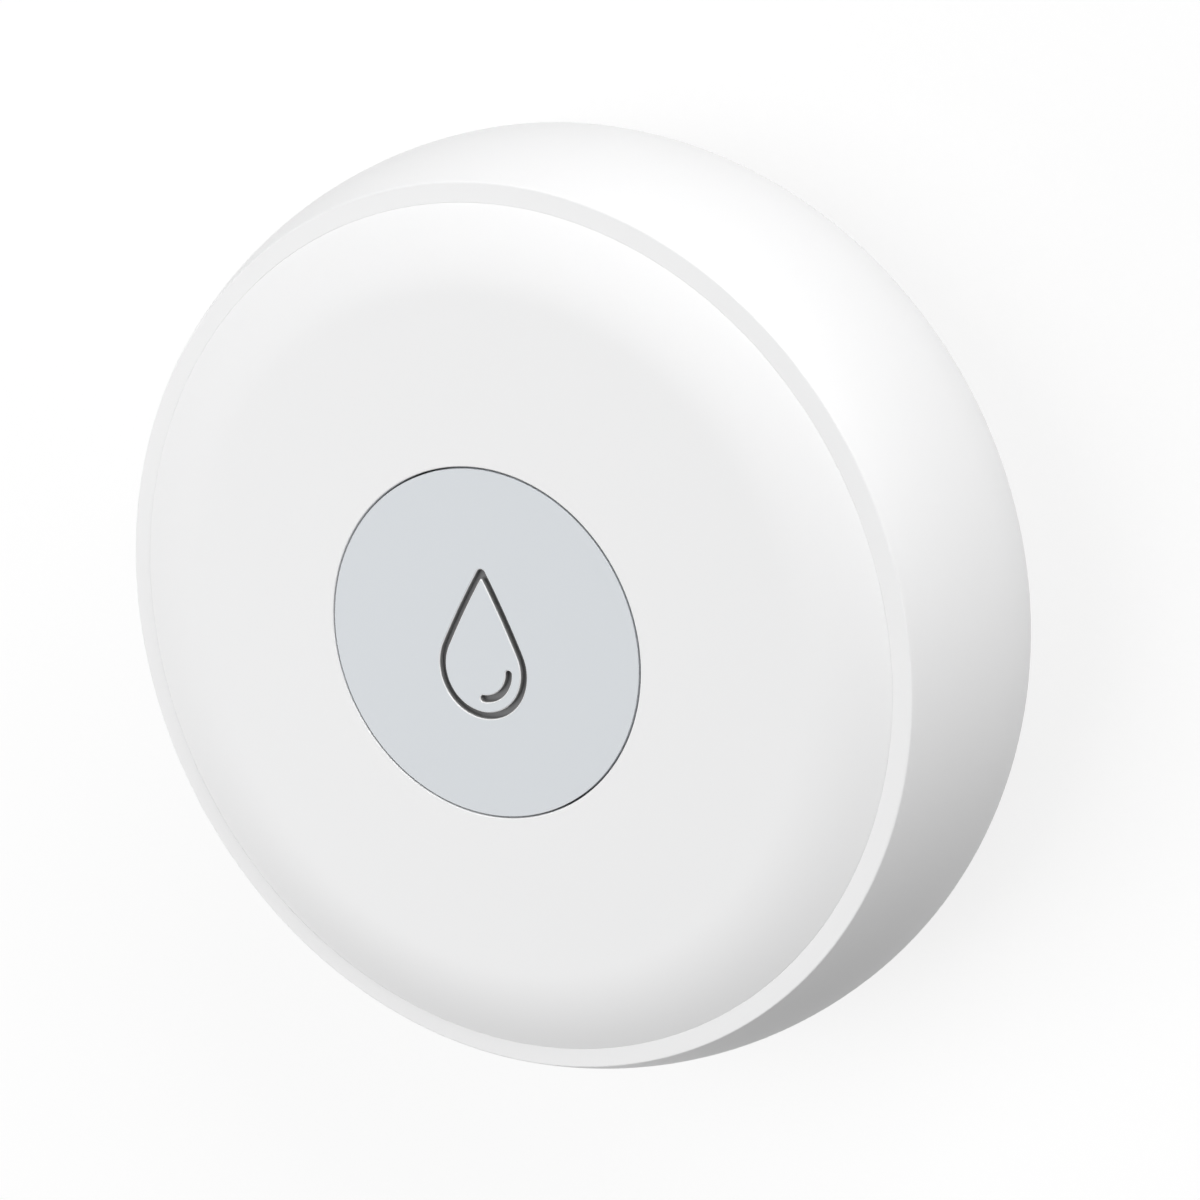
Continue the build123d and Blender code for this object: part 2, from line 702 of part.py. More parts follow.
# Sensing chip, with its two rows of pins
with BuildPart() as sensing_chip:
    with BuildSketch(Plane.XY.offset(board_top_z + chip_lift)):
        with Locations((0, -middle_distance)):
            Rectangle(chip_length, chip_width)
    extrude(amount=chip_height)
    pin_row_gap = chip_width + chip_pin_reach
    with BuildSketch(Plane.XY.offset(board_top_z)):
        with Locations((0, -middle_distance)):
            with GridLocations(chip_pin_pitch, pin_row_gap, chip_pin_count, 2):
                Rectangle(chip_pin_width, chip_pin_reach)
    extrude(amount=chip_pin_thickness)
sensing_chip.part.label = "sensing_chip"
export_step(sensing_chip.part, "parts/sensing_chip.step")

# Small resistors and capacitors
with BuildPart() as small_part:
    with BuildSketch():
        Rectangle(small_part_length, small_part_width)
    extrude(amount=small_part_height)
    end_length = small_part_length * small_part_end_share
    with BuildSketch():
        with GridLocations(small_part_length - end_length, 0, 2, 1):
            Rectangle(end_length, small_part_width + 2 * small_part_end_growth)
    extrude(amount=small_part_height + small_part_end_growth)
with BuildPart() as board_components:
    for across, along in small_part_place_shares:
        with Locations((across * board_radius, along * board_radius, board_top_z)):
            add(small_part.part)
board_components.part.label = "board_components"
export_step(board_components.part, "parts/board_components.step")

# Coin cell: a can that holds a smaller cap
with BuildPart() as coin_cell:
    with BuildSketch(Plane.XY.offset(cell_z)):
        Circle(cell_radius)
    extrude(amount=cell_height - cell_cap_height)
    chamfer(coin_cell.edges().filter_by(GeomType.CIRCLE), cell_edge_chamfer)
    with BuildSketch(Plane.XY.offset(cell_z + cell_edge_chamfer)):
        Circle(cell_radius - cell_cap_inset)
    extrude(amount=cell_height - cell_edge_chamfer)
coin_cell.part.label = "coin_cell"
export_step(coin_cell.part, "parts/coin_cell.step")

# Negative contact: a bent leaf that presses on the cell's cap
leaf_z = board_z - contact_thickness / 2
leaf_low_z = cell_top_z + contact_thickness / 2
with BuildPart() as negative_contact:
    with BuildSketch(Plane.XZ.offset(-contact_width / 2)):
        with BuildLine():
            FilletPolyline(
                (-negative_reach - negative_pad_length, leaf_z),
                (-negative_reach, leaf_z),
                (negative_reach, leaf_low_z),
                (negative_reach + negative_tip_length, leaf_low_z + negative_tip_lift),
                radius=contact_bend_radius,
            )
        trace(line_width=contact_thickness)
    extrude(amount=contact_width)
negative_contact.part.label = "negative_contact"
export_step(negative_contact.part, "parts/negative_contact.step")

# Positive contact: a bent leaf that presses on the side of the can
leaf_wall_x = bay_radius - positive_wall_gap
leaf_touch_x = cell_radius + contact_thickness / 2
leaf_tip_z = cup_top_z + positive_tip_gap
with BuildPart() as positive_contact:
    with BuildSketch(Plane.XZ.offset(-contact_width / 2)):
        with BuildLine():
            FilletPolyline(
                (leaf_wall_x - positive_pad_length, leaf_z),
                (leaf_wall_x, leaf_z),
                (leaf_touch_x, leaf_tip_z + positive_tip_length),
                (leaf_touch_x + positive_tip_lean, leaf_tip_z),
                radius=contact_bend_radius,
            )
        trace(line_width=contact_thickness)
    extrude(amount=contact_width)
positive_contact.part.label = "positive_contact"
export_step(positive_contact.part, "parts/positive_contact.step")

# Battery door: a coin-slotted cap with a cup for the cell and three bayonet lugs
with BuildPart() as battery_door:
    with BuildSketch(Plane.XZ):
        with BuildLine():
            Polyline(
                (0, back_z),
                (flange_radius, back_z),
                (flange_radius, back_z + door_flange_thickness),
                (cup_outer_radius, back_z + door_flange_thickness),
                (cup_outer_radius, cup_top_z),
                (cup_inner_radius, cup_top_z),
                (cup_inner_radius, cell_z),
                (0, cell_z),
                close=True,
            )
        make_face()
    revolve(axis=Axis.Z)
    chamfer(battery_door.edges().filter_by(GeomType.CIRCLE).sort_by(Axis.Z)[0], door_edge_chamfer)
    with BuildSketch(Plane.XY.offset(lug_z)):
        with PolarLocations(0, lug_count):
            add(lug_face)
    extrude(amount=lug_thickness)
    with BuildSketch(Plane.XY.offset(back_z)):
        SlotOverall(coin_slot_length, coin_slot_width)
    extrude(amount=coin_slot_depth, mode=Mode.SUBTRACT)
    with BuildSketch(Plane.XY.offset(back_z)):
        with PolarLocations(flange_radius - index_mark_inset, 1, start_angle=-90):
            Circle(index_mark_radius)
    extrude(amount=index_mark_depth, mode=Mode.SUBTRACT)
battery_door.part.label = "battery_door"
export_step(battery_door.part, "parts/battery_door.step")

# Flat silicone ring between the door's flange and the housing
with BuildPart() as door_seal:
    with BuildSketch(Plane.XY.offset(back_z + door_flange_thickness)):
        Circle(seal_outer_radius)
        Circle(seal_outer_radius - seal_width, mode=Mode.SUBTRACT)
    extrude(amount=seal_thickness)
door_seal.part.label = "door_seal"
export_step(door_seal.part, "parts/door_seal.step")

# Droplet stroke and glint, drawn once for the groove and its window
droplet_outer = droplet_face(0, droplet_tip_fillet)
droplet_inner = droplet_face(droplet_stroke, droplet_island_fillet)
with BuildSketch() as droplet_mark:
    with Locations((0, -droplet_shift)):
        add(droplet_outer)
        add(droplet_inner, mode=Mode.SUBTRACT)
        SlotArc(Edge.make_circle(glint_radius, start_angle=-90, end_angle=0), glint_stroke)

# Button cap: a disc with the engraved droplet, a skirt, and a flange that keeps it in
with BuildPart() as button_cap:
    with BuildSketch(Plane.XZ):
        with BuildLine():
            Polyline(
                (0, top_z),
                (button_radius, top_z),
                (button_radius, flange_top_z),
                (button_flange_radius, flange_top_z),
                (button_flange_radius, flange_z),
                (skirt_inner_radius, flange_z),
                (skirt_inner_radius, plate_under_z),
                (stem_radius, plate_under_z),
                (stem_radius, stem_z),
                (0, stem_z),
                close=True,
            )
        make_face()
    revolve(axis=Axis.Z)
    chamfer(button_cap.edges().filter_by(GeomType.CIRCLE).sort_by(Axis.Z)[-1], button_edge_chamfer)
    with BuildSketch(Plane.XY.offset(flange_z)):
        for side in (0, 180):
            with PolarLocations(well_radius - key_reach - key_gap, 1, start_angle=side):
                Rectangle(key_reach, key_width + 2 * key_gap, align=(Align.MIN, Align.CENTER))
    extrude(amount=button_flange_thickness, mode=Mode.SUBTRACT)
    with BuildSketch(Plane.XY.offset(groove_z)):
        add(droplet_mark.sketch)
    extrude(amount=groove_depth, mode=Mode.SUBTRACT)
button_cap.part.label = "button_cap"
export_step(button_cap.part, "parts/button_cap.step")

# Smoked window strip on the groove's floor, which the lamps shine through
with BuildPart() as droplet_window:
    with BuildSketch(Plane.XY.offset(groove_z)):
        add(droplet_mark.sketch)
    extrude(amount=window_thickness)
droplet_window.part.label = "droplet_window"
export_step(droplet_window.part, "parts/droplet_window.step")

# Light guide: a clear plate under the cap, with a ring that gathers the lamps' light
guide_z = plate_under_z - guide_plate_thickness
with BuildPart() as light_guide:
    with BuildSketch(Plane.XY.offset(guide_z)):
        Circle(skirt_inner_radius - guide_edge_gap)
        Circle(stem_radius + guide_edge_gap, mode=Mode.SUBTRACT)
    extrude(amount=guide_plate_thickness)
    with BuildSketch(Plane.XY.offset(guide_z - guide_ring_height)):
        Circle(guide_ring_outer_radius)
        Circle(guide_ring_inner_radius, mode=Mode.SUBTRACT)
    extrude(amount=guide_ring_height)
    chamfer(light_guide.edges().group_by(Axis.Z)[0], guide_ring_chamfer)
light_guide.part.label = "light_guide"
export_step(light_guide.part, "parts/light_guide.step")

# Silicone membrane that seals the button's well and passes the press on through its boss
bead_radius = well_outer_radius - membrane_bead_inset
fold_outer_radius = well_radius - membrane_fold_inset
fold_inner_radius = fold_outer_radius - membrane_fold_width
fold_low_z = membrane_mid_z - membrane_fold_drop
with BuildPart() as button_membrane:
    with BuildSketch(Plane.XZ):
        with BuildLine():
            Polyline(
                (membrane_boss_radius / 2, membrane_mid_z),
                (fold_inner_radius, membrane_mid_z),
                (fold_inner_radius + membrane_fold_width / 3, fold_low_z),
                (fold_outer_radius - membrane_fold_width / 3, fold_low_z),
                (fold_outer_radius, membrane_mid_z),
                (well_radius + well_wall / 4, membrane_mid_z),
            )
        trace(line_width=membrane_web_thickness)
        with Locations((0, plunger_top_z)):
            Rectangle(membrane_boss_radius, membrane_boss_thickness, align=(Align.MIN, Align.MIN))
        with Locations((well_radius, membrane_z)):
            Rectangle(bead_radius - well_radius, membrane_bead_thickness, align=(Align.MIN, Align.MIN))
    revolve(axis=Axis.Z)
button_membrane.part.label = "button_membrane"
export_step(button_membrane.part, "parts/button_membrane.step")

# Ring that clamps the membrane's bead, held by four screws
with BuildPart() as membrane_clamp:
    with BuildSketch(Plane.XY.offset(clamp_z)):
        Circle(well_outer_radius)
        with PolarLocations(clamp_ear_circle_radius, clamp_ear_count, start_angle=clamp_ear_angle):
            Circle(clamp_ear_radius)
        Circle(well_radius - clamp_overlap, mode=Mode.SUBTRACT)
        with PolarLocations(clamp_ear_circle_radius, clamp_ear_count, start_angle=clamp_ear_angle):
            Circle(clamp_screw_shank_diameter / 2 + clamp_hole_gap, mode=Mode.SUBTRACT)
    extrude(amount=clamp_thickness)
membrane_clamp.part.label = "membrane_clamp"
export_step(membrane_clamp.part, "parts/membrane_clamp.step")

clamp_screw_recess = (clamp_screw_recess_length, clamp_screw_recess_width, clamp_screw_recess_depth,
                      clamp_screw_head_chamfer)
clamp_screw = pan_screw(clamp_z - clamp_screw_head_height, clamp_screw_head_diameter, clamp_screw_head_height,
                        clamp_screw_shank_diameter, clamp_screw_length, clamp_screw_recess)
with BuildPart() as clamp_screws:
    with PolarLocations(clamp_ear_circle_radius, clamp_ear_count, start_angle=clamp_ear_angle):
        add(clamp_screw)
clamp_screws.part.label = "clamp_screws"
export_step(clamp_screws.part, "parts/clamp_screws.step")

print("overall diameter", round(2 * body_radius, 3), "height", round(top_z, 3), "rim", round(2 * rim_radius, 3))
print("door twist", twist_angle, "degrees, button travel", button_travel, "mm")
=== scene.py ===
# %% [markdown]
# # A round water leak sensor
#
# The sensor is a white puck with a pillow-shaped face, a flush silver-grey button with an engraved
# droplet, and a back with four steel probe screws and a coin-slotted battery door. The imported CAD
# model gives every place and size. This script dresses it: shells with soft edges, real screw
# heads and procedural finishes.

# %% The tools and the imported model
import math

import bmesh
import bpy
from mathutils import Matrix, Vector


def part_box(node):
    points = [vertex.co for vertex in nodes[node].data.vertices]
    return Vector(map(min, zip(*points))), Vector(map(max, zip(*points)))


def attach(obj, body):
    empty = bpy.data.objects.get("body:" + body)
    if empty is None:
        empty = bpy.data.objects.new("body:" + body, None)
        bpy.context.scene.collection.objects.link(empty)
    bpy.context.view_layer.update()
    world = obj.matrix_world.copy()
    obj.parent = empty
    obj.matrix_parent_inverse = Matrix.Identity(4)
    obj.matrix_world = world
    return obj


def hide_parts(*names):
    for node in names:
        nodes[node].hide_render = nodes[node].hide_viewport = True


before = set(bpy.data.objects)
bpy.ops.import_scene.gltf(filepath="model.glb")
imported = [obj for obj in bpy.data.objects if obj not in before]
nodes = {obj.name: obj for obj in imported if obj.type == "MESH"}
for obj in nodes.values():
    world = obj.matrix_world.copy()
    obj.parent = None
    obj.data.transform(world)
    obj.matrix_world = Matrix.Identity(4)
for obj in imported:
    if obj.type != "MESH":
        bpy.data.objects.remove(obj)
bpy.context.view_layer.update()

# %% [markdown]
# ## Sizes read from the frame
#
# Each shell is round, so its profile needs only radii and heights. They are measured on the CAD
# nodes' own corners: the smallest and the largest radius at one height. A change in the CAD model
# then moves these shells too. Only the soft edges, which the CAD leaves sharp, are set here.

# %% Millimetres, and a ruler for round parts
MM = 0.001
SPECK = 0.001
SAME_HEIGHT, SAME_RADIUS = 0.002, 0.0005


def radii_at(node, height):
    """Smallest and largest radius of a node's corners at one height, all in millimetres."""
    found = []
    for corner in nodes[node].data.vertices:
        if abs(corner.co.z / MM - height) < SAME_HEIGHT:
            found.append(math.hypot(corner.co.x, corner.co.y) / MM)
    return min(found), max(found)


def heights_of(node):
    """Lowest and highest height of a node, in millimetres."""
    low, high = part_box(node)
    return low.z / MM, high.z / MM


print("a corner is at a height within", SAME_HEIGHT, "mm")

# %% Radii and heights of the case
back_z, rim_z = heights_of("housing")
top_z = heights_of("front_cover")[1]
rim_inner, rim_outer = radii_at("housing", rim_z)
recess_radius, back_flat_radius = radii_at("housing", back_z)
hole_radius, pillow_start = radii_at("front_cover", top_z)
body_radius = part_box("housing")[1].x / MM
belly_corners = [v.co.z / MM for v in nodes["housing"].data.vertices
                 if math.hypot(v.co.x, v.co.y) / MM > body_radius - SAME_RADIUS]
belly_z = sum(belly_corners) / len(belly_corners)
print("rim", round(rim_inner, 2), round(rim_outer, 2), "belly", round(body_radius, 2), round(belly_z, 2))

# %% [markdown]
# ## Profiles with soft edges
#
# A moulded edge is never sharp: a small round catches the light as a thin bright line. Each profile
# is a list of corners, and each corner has its own edge radius. A Bevel modifier could round a finished
# mesh, but it gives one width to many edges at once. Here a helper replaces each corner by an arc, and
# adds a point just before and after it. Those extra points keep smooth shading from bleeding off the
# round onto the flats beside it.

# %% Corners to points
ROUND_STEPS = 5
EDGE_GUARD = 0.04
SEAM_EDGE, FINE_EDGE, SOFT_EDGE, WIDE_EDGE, OPEN_EDGE = 0.03, 0.1, 0.15, 0.2, 0.3


def soften(corners, closed=True):
    """Points of a profile whose corners are (radius, height, edge radius)."""
    points = []
    count = len(corners)
    for place, (r, z, edge) in enumerate(corners):
        here = Vector((r, z))
        at_end = not closed and place in (0, count - 1)
        if edge <= 0 or at_end:
            points.append(here)
            continue
        before = Vector(corners[place - 1][:2]) - here
        after = Vector(corners[(place + 1) % count][:2]) - here
        turn = math.pi - before.angle(after)
        reach = edge * math.tan(turn / 2)
        start = here + before.normalized() * reach
        end = here + after.normalized() * reach
        centre = here + (before.normalized() + after.normalized()).normalized() * edge / math.cos(turn / 2)
        guard = min(EDGE_GUARD, before.length / 3, after.length / 3)
        points.append(start + before.normalized() * guard)
        first = start - centre
        spin = first.angle_signed(end - centre)
        for step in range(ROUND_STEPS + 1):
            points.append(centre + Matrix.Rotation(-spin * step / ROUND_STEPS, 2) @ first)
        points.append(end + after.normalized() * guard)
    return points


print("edges from", SEAM_EDGE, "to", OPEN_EDGE, "mm round, in", ROUND_STEPS, "steps")


# %% An arc that starts in a given direction
def tangent_arc(start, direction, end, steps):
    """Corners along the arc that leaves start in a direction and stops at end."""
    start, end = Vector(start), Vector(end)
    along = Vector(direction).normalized()
    side = Vector((-along.y, along.x))
    chord = end - start
    radius = chord.length_squared / (2 * chord.dot(side))
    centre = start + side * radius
    first = start - centre
    spin = first.angle_signed(end - centre)
    points = [centre + Matrix.Rotation(-spin * step / steps, 2) @ first for step in range(steps + 1)]
    return [(point.x, point.y, 0) for point in points]


# %% [markdown]
# ## Geometry Nodes: turn a profile, and set copies round an axis
#
# Two short trees make nearly everything here. The first turns a profile about the Z axis, as a lathe
# would: a grid gets one column for each step of the turn, and each point takes its place from the
# profile. The second sets copies of a shape on a circle. The Screw modifier and an Array round an empty
# could do the same. A tree is used because its inputs are named sizes, so the same two trees serve
# shells, screws, posts and the cutters for screw seats. Nothing in them is random, so they need no seed.

# %% Small helpers to write a tree
def new_tree(name, sockets):
    """An empty tree with a geometry input, named inputs and a geometry output."""
    tree = bpy.data.node_groups.new(name, "GeometryNodeTree")
    tree.interface.new_socket("Geometry", in_out="INPUT", socket_type="NodeSocketGeometry")
    for label, kind in sockets:
        tree.interface.new_socket(label, in_out="INPUT", socket_type="NodeSocket" + kind)
    tree.interface.new_socket("Geometry", in_out="OUTPUT", socket_type="NodeSocketGeometry")
    return tree


def put(tree, kind, feeds, **settings):
    """Adds a node, sets it, and feeds its inputs with values or with other nodes' outputs."""
    node = tree.nodes.new(kind)
    for key, value in settings.items():
        setattr(node, key, value)
    for key, value in feeds.items():
        if isinstance(value, bpy.types.NodeSocket):
            tree.links.new(value, node.inputs[key])
        else:
            node.inputs[key].default_value = value
    return node


def end_tree(tree, geometry, material):
    """Makes the copies real, gives them their material, and ends the tree."""
    whole = put(tree, "GeometryNodeRealizeInstances", {"Geometry": geometry})
    dressed = put(tree, "GeometryNodeSetMaterial", {"Geometry": whole.outputs[0], "Material": material})
    put(tree, "NodeGroupOutput", {"Geometry": dressed.outputs[0]})
    return tree


# %% The tree that turns a profile
def make_turning_tree():
    """A tree that turns the points of a profile about the Z axis, column by column."""
    tree = new_tree("turn a profile", [("Segments", "Int"), ("Finish", "Material")])
    given = put(tree, "NodeGroupInput", {}).outputs
    size = put(tree, "GeometryNodeAttributeDomainSize", {"Geometry": given["Geometry"]})
    count = size.outputs["Point Count"]
    columns = put(tree, "ShaderNodeMath", {0: given["Segments"], 1: 1.0}, operation="ADD")
    grid = put(tree, "GeometryNodeMeshGrid", {"Vertices X": columns.outputs[0], "Vertices Y": count})
    index = put(tree, "GeometryNodeInputIndex", {}).outputs[0]
    row = put(tree, "FunctionNodeIntegerMath", {0: index, 1: count}, operation="MODULO")
    column = put(tree, "FunctionNodeIntegerMath", {0: index, 1: count}, operation="DIVIDE_FLOOR")
    place = put(tree, "GeometryNodeInputPosition", {}).outputs[0]
    sample = put(tree, "GeometryNodeSampleIndex", {"Geometry": given["Geometry"], "Index": row.outputs[0]},
                 data_type="FLOAT_VECTOR")
    tree.links.new(place, sample.inputs["Value"])
    step = put(tree, "ShaderNodeMath", {0: math.tau, 1: given["Segments"]}, operation="DIVIDE")
    angle = put(tree, "ShaderNodeMath", {0: column.outputs[0], 1: step.outputs[0]}, operation="MULTIPLY")
    turned_place = put(tree, "ShaderNodeVectorRotate",
                       {"Vector": sample.outputs[0], "Angle": angle.outputs[0]}, rotation_type="Z_AXIS")
    moved = put(tree, "GeometryNodeSetPosition",
                {"Geometry": grid.outputs["Mesh"], "Position": turned_place.outputs[0]})
    merged = put(tree, "GeometryNodeMergeByDistance",
                 {"Geometry": moved.outputs[0], "Distance": SPECK * MM})
    return end_tree(tree, merged.outputs[0], given["Finish"])


TURN = make_turning_tree()
print(TURN.name, len(TURN.nodes), "nodes")


# %% The tree that sets copies round the axis
def make_circle_tree():
    """A tree that sets copies of a shape on a circle, each turned to face outwards."""
    tree = new_tree("set round the axis", [("Count", "Int"), ("Circle radius", "Float"),
                                           ("Start angle", "Float"), ("Finish", "Material")])
    given = put(tree, "NodeGroupInput", {}).outputs
    place = put(tree, "GeometryNodeInputPosition", {}).outputs[0]
    marked = put(tree, "GeometryNodeStoreNamedAttribute",
                 {"Geometry": given["Geometry"], "Name": "own_place"},
                 data_type="FLOAT_VECTOR", domain="POINT")
    tree.links.new(place, marked.inputs["Value"])
    index = put(tree, "GeometryNodeInputIndex", {}).outputs[0]
    step = put(tree, "ShaderNodeMath", {0: math.tau, 1: given["Count"]}, operation="DIVIDE")
    angle = put(tree, "ShaderNodeMath", {0: index, 1: step.outputs[0], 2: given["Start angle"]},
                operation="MULTIPLY_ADD")
    reach = put(tree, "ShaderNodeCombineXYZ", {"X": given["Circle radius"]})
    spot = put(tree, "ShaderNodeVectorRotate", {"Vector": reach.outputs[0], "Angle": angle.outputs[0]},
               rotation_type="Z_AXIS")
    points = put(tree, "GeometryNodePoints", {"Count": given["Count"], "Position": spot.outputs[0]})
    turn = put(tree, "ShaderNodeCombineXYZ", {"Z": angle.outputs[0]})
    turn_rotation = put(tree, "FunctionNodeEulerToRotation", {"Euler": turn.outputs[0]})
    copies = put(tree, "GeometryNodeInstanceOnPoints",
                 {"Points": points.outputs[0], "Instance": marked.outputs[0],
                  "Rotation": turn_rotation.outputs[0]})
    return end_tree(tree, copies.outputs[0], given["Finish"])


AROUND = make_circle_tree()
print(AROUND.name, len(AROUND.nodes), "nodes")

# %% [markdown]
# ## From a tree to a plain mesh
#
# A tree's result is live until it is read back. These helpers run a tree on a source mesh, take the
# result as a plain mesh at the origin, and turn it the right way out if its volume is negative. The
# same way back serves the Boolean modifier, which joins posts to a shell or cuts seats out of it. A
# Boolean can leave corners that all but touch, so they are merged afterwards, and the mesh stays closed.
# What isn't round, such as a stop or a key, is a prism over its outline.

# %% Running a tree and reading it back
SHELL_SEGMENTS, BOSS_SEGMENTS, PIN_SEGMENTS, MARK_SEGMENTS, SCREW_SEGMENTS = 192, 64, 40, 32, 48
SEAT_SEGMENTS = 72


def new_object(name, mesh):
    """An object at the origin, linked to the scene."""
    obj = bpy.data.objects.new(name, mesh)
    bpy.context.scene.collection.objects.link(obj)
    return obj


def settle(obj):
    """Applies the modifiers of an object by reading back its evaluated mesh."""
    depsgraph = bpy.context.evaluated_depsgraph_get()
    mesh = bpy.data.meshes.new_from_object(obj.evaluated_get(depsgraph), depsgraph=depsgraph)
    obj.modifiers.clear()
    obj.data = mesh
    return obj


def run_tree(obj, tree, sizes):
    """Runs a tree on an object, with its inputs found by name and set by identifier."""
    modifier = obj.modifiers.new("tree", "NODES")
    modifier.node_group = tree
    for item in tree.interface.items_tree:
        if item.in_out == "INPUT" and item.name in sizes:
            modifier[item.identifier] = sizes[item.name]
    return settle(obj)


def face_outwards(obj):
    """Turns a closed mesh the right way out, if its volume is negative."""
    body = bmesh.new()
    body.from_mesh(obj.data)
    if body.calc_volume(signed=True) < 0:
        bmesh.ops.reverse_faces(body, faces=body.faces)
    body.to_mesh(obj.data)
    body.free()
    return obj


def turned(name, points, material, segments=SHELL_SEGMENTS, closed=True):
    """A solid turned from profile points, in millimetres."""
    ends = points + points[:1] if closed else points
    mesh = bpy.data.meshes.new(name)
    mesh.from_pydata([(p[0] * MM, 0, p[1] * MM) for p in ends], [], [])
    obj = run_tree(new_object(name, mesh), TURN, {"Segments": segments, "Finish": material})
    return face_outwards(obj)


print("a shell has", SHELL_SEGMENTS, "steps round, a screw", SCREW_SEGMENTS)


# %% Copies on a circle, and Booleans
def set_round(obj, count, circle_radius, start_angle=0.0):
    """Replaces an object by copies on a circle, each turned to face outwards."""
    sizes = {"Count": count, "Circle radius": circle_radius * MM, "Start angle": math.radians(start_angle),
             "Finish": obj.data.materials[0]}
    return run_tree(obj, AROUND, sizes)


def merge_specks(obj):
    """Merges corners closer than a speck, which a Boolean can leave."""
    body = bmesh.new()
    body.from_mesh(obj.data)
    bmesh.ops.remove_doubles(body, verts=body.verts, dist=SPECK * MM)
    bmesh.ops.dissolve_degenerate(body, edges=body.edges, dist=SPECK * MM)
    body.to_mesh(obj.data)
    body.free()
    return obj


def combine(obj, other, operation):
    """Joins another solid to an object, or cuts it out, and removes the other."""
    modifier = obj.modifiers.new("combine", "BOOLEAN")
    modifier.operation = operation
    modifier.solver = "EXACT"
    modifier.material_mode = "TRANSFER"
    modifier.object = other
    settle(obj)
    bpy.data.objects.remove(other)
    return merge_specks(obj)


def join_round(obj, other, *ring):
    """Joins copies of a solid to an object; a ring is (count, circle radius, start angle)."""
    combine(obj, set_round(other, *ring), "UNION")


def cut_round(obj, other, *ring):
    """Cuts copies of a solid out of an object."""
    combine(obj, set_round(other, *ring), "DIFFERENCE")


# %% Smooth shading, and a place on a body
LEVEL = 0.99999
SHARP_ANGLE = 32.0


def shade(obj):
    """Smooth shading that breaks at sharp edges, and stays off the faces that lie level."""
    obj.data.shade_smooth()
    obj.data.set_sharp_from_angle(angle=math.radians(SHARP_ANGLE))
    for face in obj.data.polygons:
        if abs(face.normal.z) > LEVEL:
            face.use_smooth = False
    return obj


def seat(obj, body, slot, *stands_for):
    """Lets a finished piece ride on its body and stand for its CAD nodes."""
    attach(obj, body)
    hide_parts(*stands_for)
    print(obj.name, len(obj.data.polygons), "faces")
    return obj


print("shading breaks at", SHARP_ANGLE, "degrees")


# %% Prisms for what isn't round
SECTOR_STEPS, NARROW_STEPS = 24, 4


def prism(name, outline, low_z, high_z, material):
    """A closed prism over a list of (x, y) corners, in millimetres."""
    body = bmesh.new()
    rings = []
    for height in (low_z, high_z):
        rings.append([body.verts.new((x * MM, y * MM, height * MM)) for x, y in outline])
    low, high = rings
    body.faces.new(low)
    body.faces.new(high)
    for place in range(len(outline)):
        following = (place + 1) % len(outline)
        body.faces.new((low[place], low[following], high[following], high[place]))
    bmesh.ops.recalc_face_normals(body, faces=body.faces)
    mesh = bpy.data.meshes.new(name)
    body.to_mesh(mesh)
    body.free()
    mesh.materials.append(material)
    return new_object(name, mesh)


def arc_points(centre, radius, start, end, steps):
    """Points on an arc, from one angle to another in degrees."""
    found = []
    for step in range(steps + 1):
        angle = math.radians(start + (end - start) * step / steps)
        found.append((centre[0] + radius * math.cos(angle), centre[1] + radius * math.sin(angle)))
    return found


def sector(inner, outer, width_angle, steps=SECTOR_STEPS):
    """The outline of a piece of a ring, about the +X axis."""
    far = arc_points((0, 0), outer, -width_angle / 2, width_angle / 2, steps)
    return far + arc_points((0, 0), inner, width_angle / 2, -width_angle / 2, steps)


def box_outline(start_x, end_x, width):
    """The outline of a bar along the X axis."""
    return [(start_x, -width / 2), (end_x, -width / 2), (end_x, width / 2), (start_x, width / 2)]


print("a piece of a ring has", SECTOR_STEPS, "steps")

# %% [markdown]
# ## Finishes
#
# The case is satin white plastic, the disc is lacquered silver-grey, and the droplet's stroke is dark.
# A photograph of plastic could be wrapped round them, but would stretch and repeat. Every finish here
# is procedural and reads Object coordinates, so its grain has a real size. One function builds the
# common case: a colour that drifts a little, a fine grain as bump, and a roughness that varies with
# the same noise. Numbers that are the same all over stay on the shader's own sockets.

# %% The common finish
DRIFT_WIDTH = 14
NOISE_LOW, NOISE_HIGH = 0.3, 0.7
GLOSS_SWING = 0.07


def finish(name, colour, roughness, grain=0.25, drift=0.02, rise=0.002, **fixed):
    """A material whose grain is about so many millimetres wide and rises so many millimetres."""
    material = bpy.data.materials.new(name)
    material.use_nodes = True
    tree = material.node_tree
    shader = tree.nodes["Principled BSDF"]
    place = put(tree, "ShaderNodeTexCoord", {}).outputs["Object"]
    noise = put(tree, "ShaderNodeTexNoise",
                {"Vector": place, "Scale": 1 / (grain * MM), "Detail": 3.0, "Roughness": 0.55})
    wide = put(tree, "ShaderNodeTexNoise",
               {"Vector": place, "Scale": 1 / (DRIFT_WIDTH * MM), "Detail": 2.0})
    darker = (*[c * (1 - drift) for c in colour], 1)
    lighter = (*[min(1.0, c * (1 + drift)) for c in colour], 1)
    tone = put(tree, "ShaderNodeMix", {0: wide.outputs[0], 6: darker, 7: lighter}, data_type="RGBA")
    tree.links.new(tone.outputs[2], shader.inputs["Base Color"])
    gloss = put(tree, "ShaderNodeMapRange",
                {"Value": noise.outputs[0], "From Min": NOISE_LOW, "From Max": NOISE_HIGH,
                 "To Min": roughness * (1 - GLOSS_SWING), "To Max": roughness * (1 + GLOSS_SWING)})
    tree.links.new(gloss.outputs[0], shader.inputs["Roughness"])
    bump = put(tree, "ShaderNodeBump",
               {"Height": noise.outputs[0], "Distance": rise * MM, "Strength": 1.0})
    tree.links.new(bump.outputs[0], shader.inputs["Normal"])
    for key, value in fixed.items():
        shader.inputs[key.replace("_", " ")].default_value = value
    return material


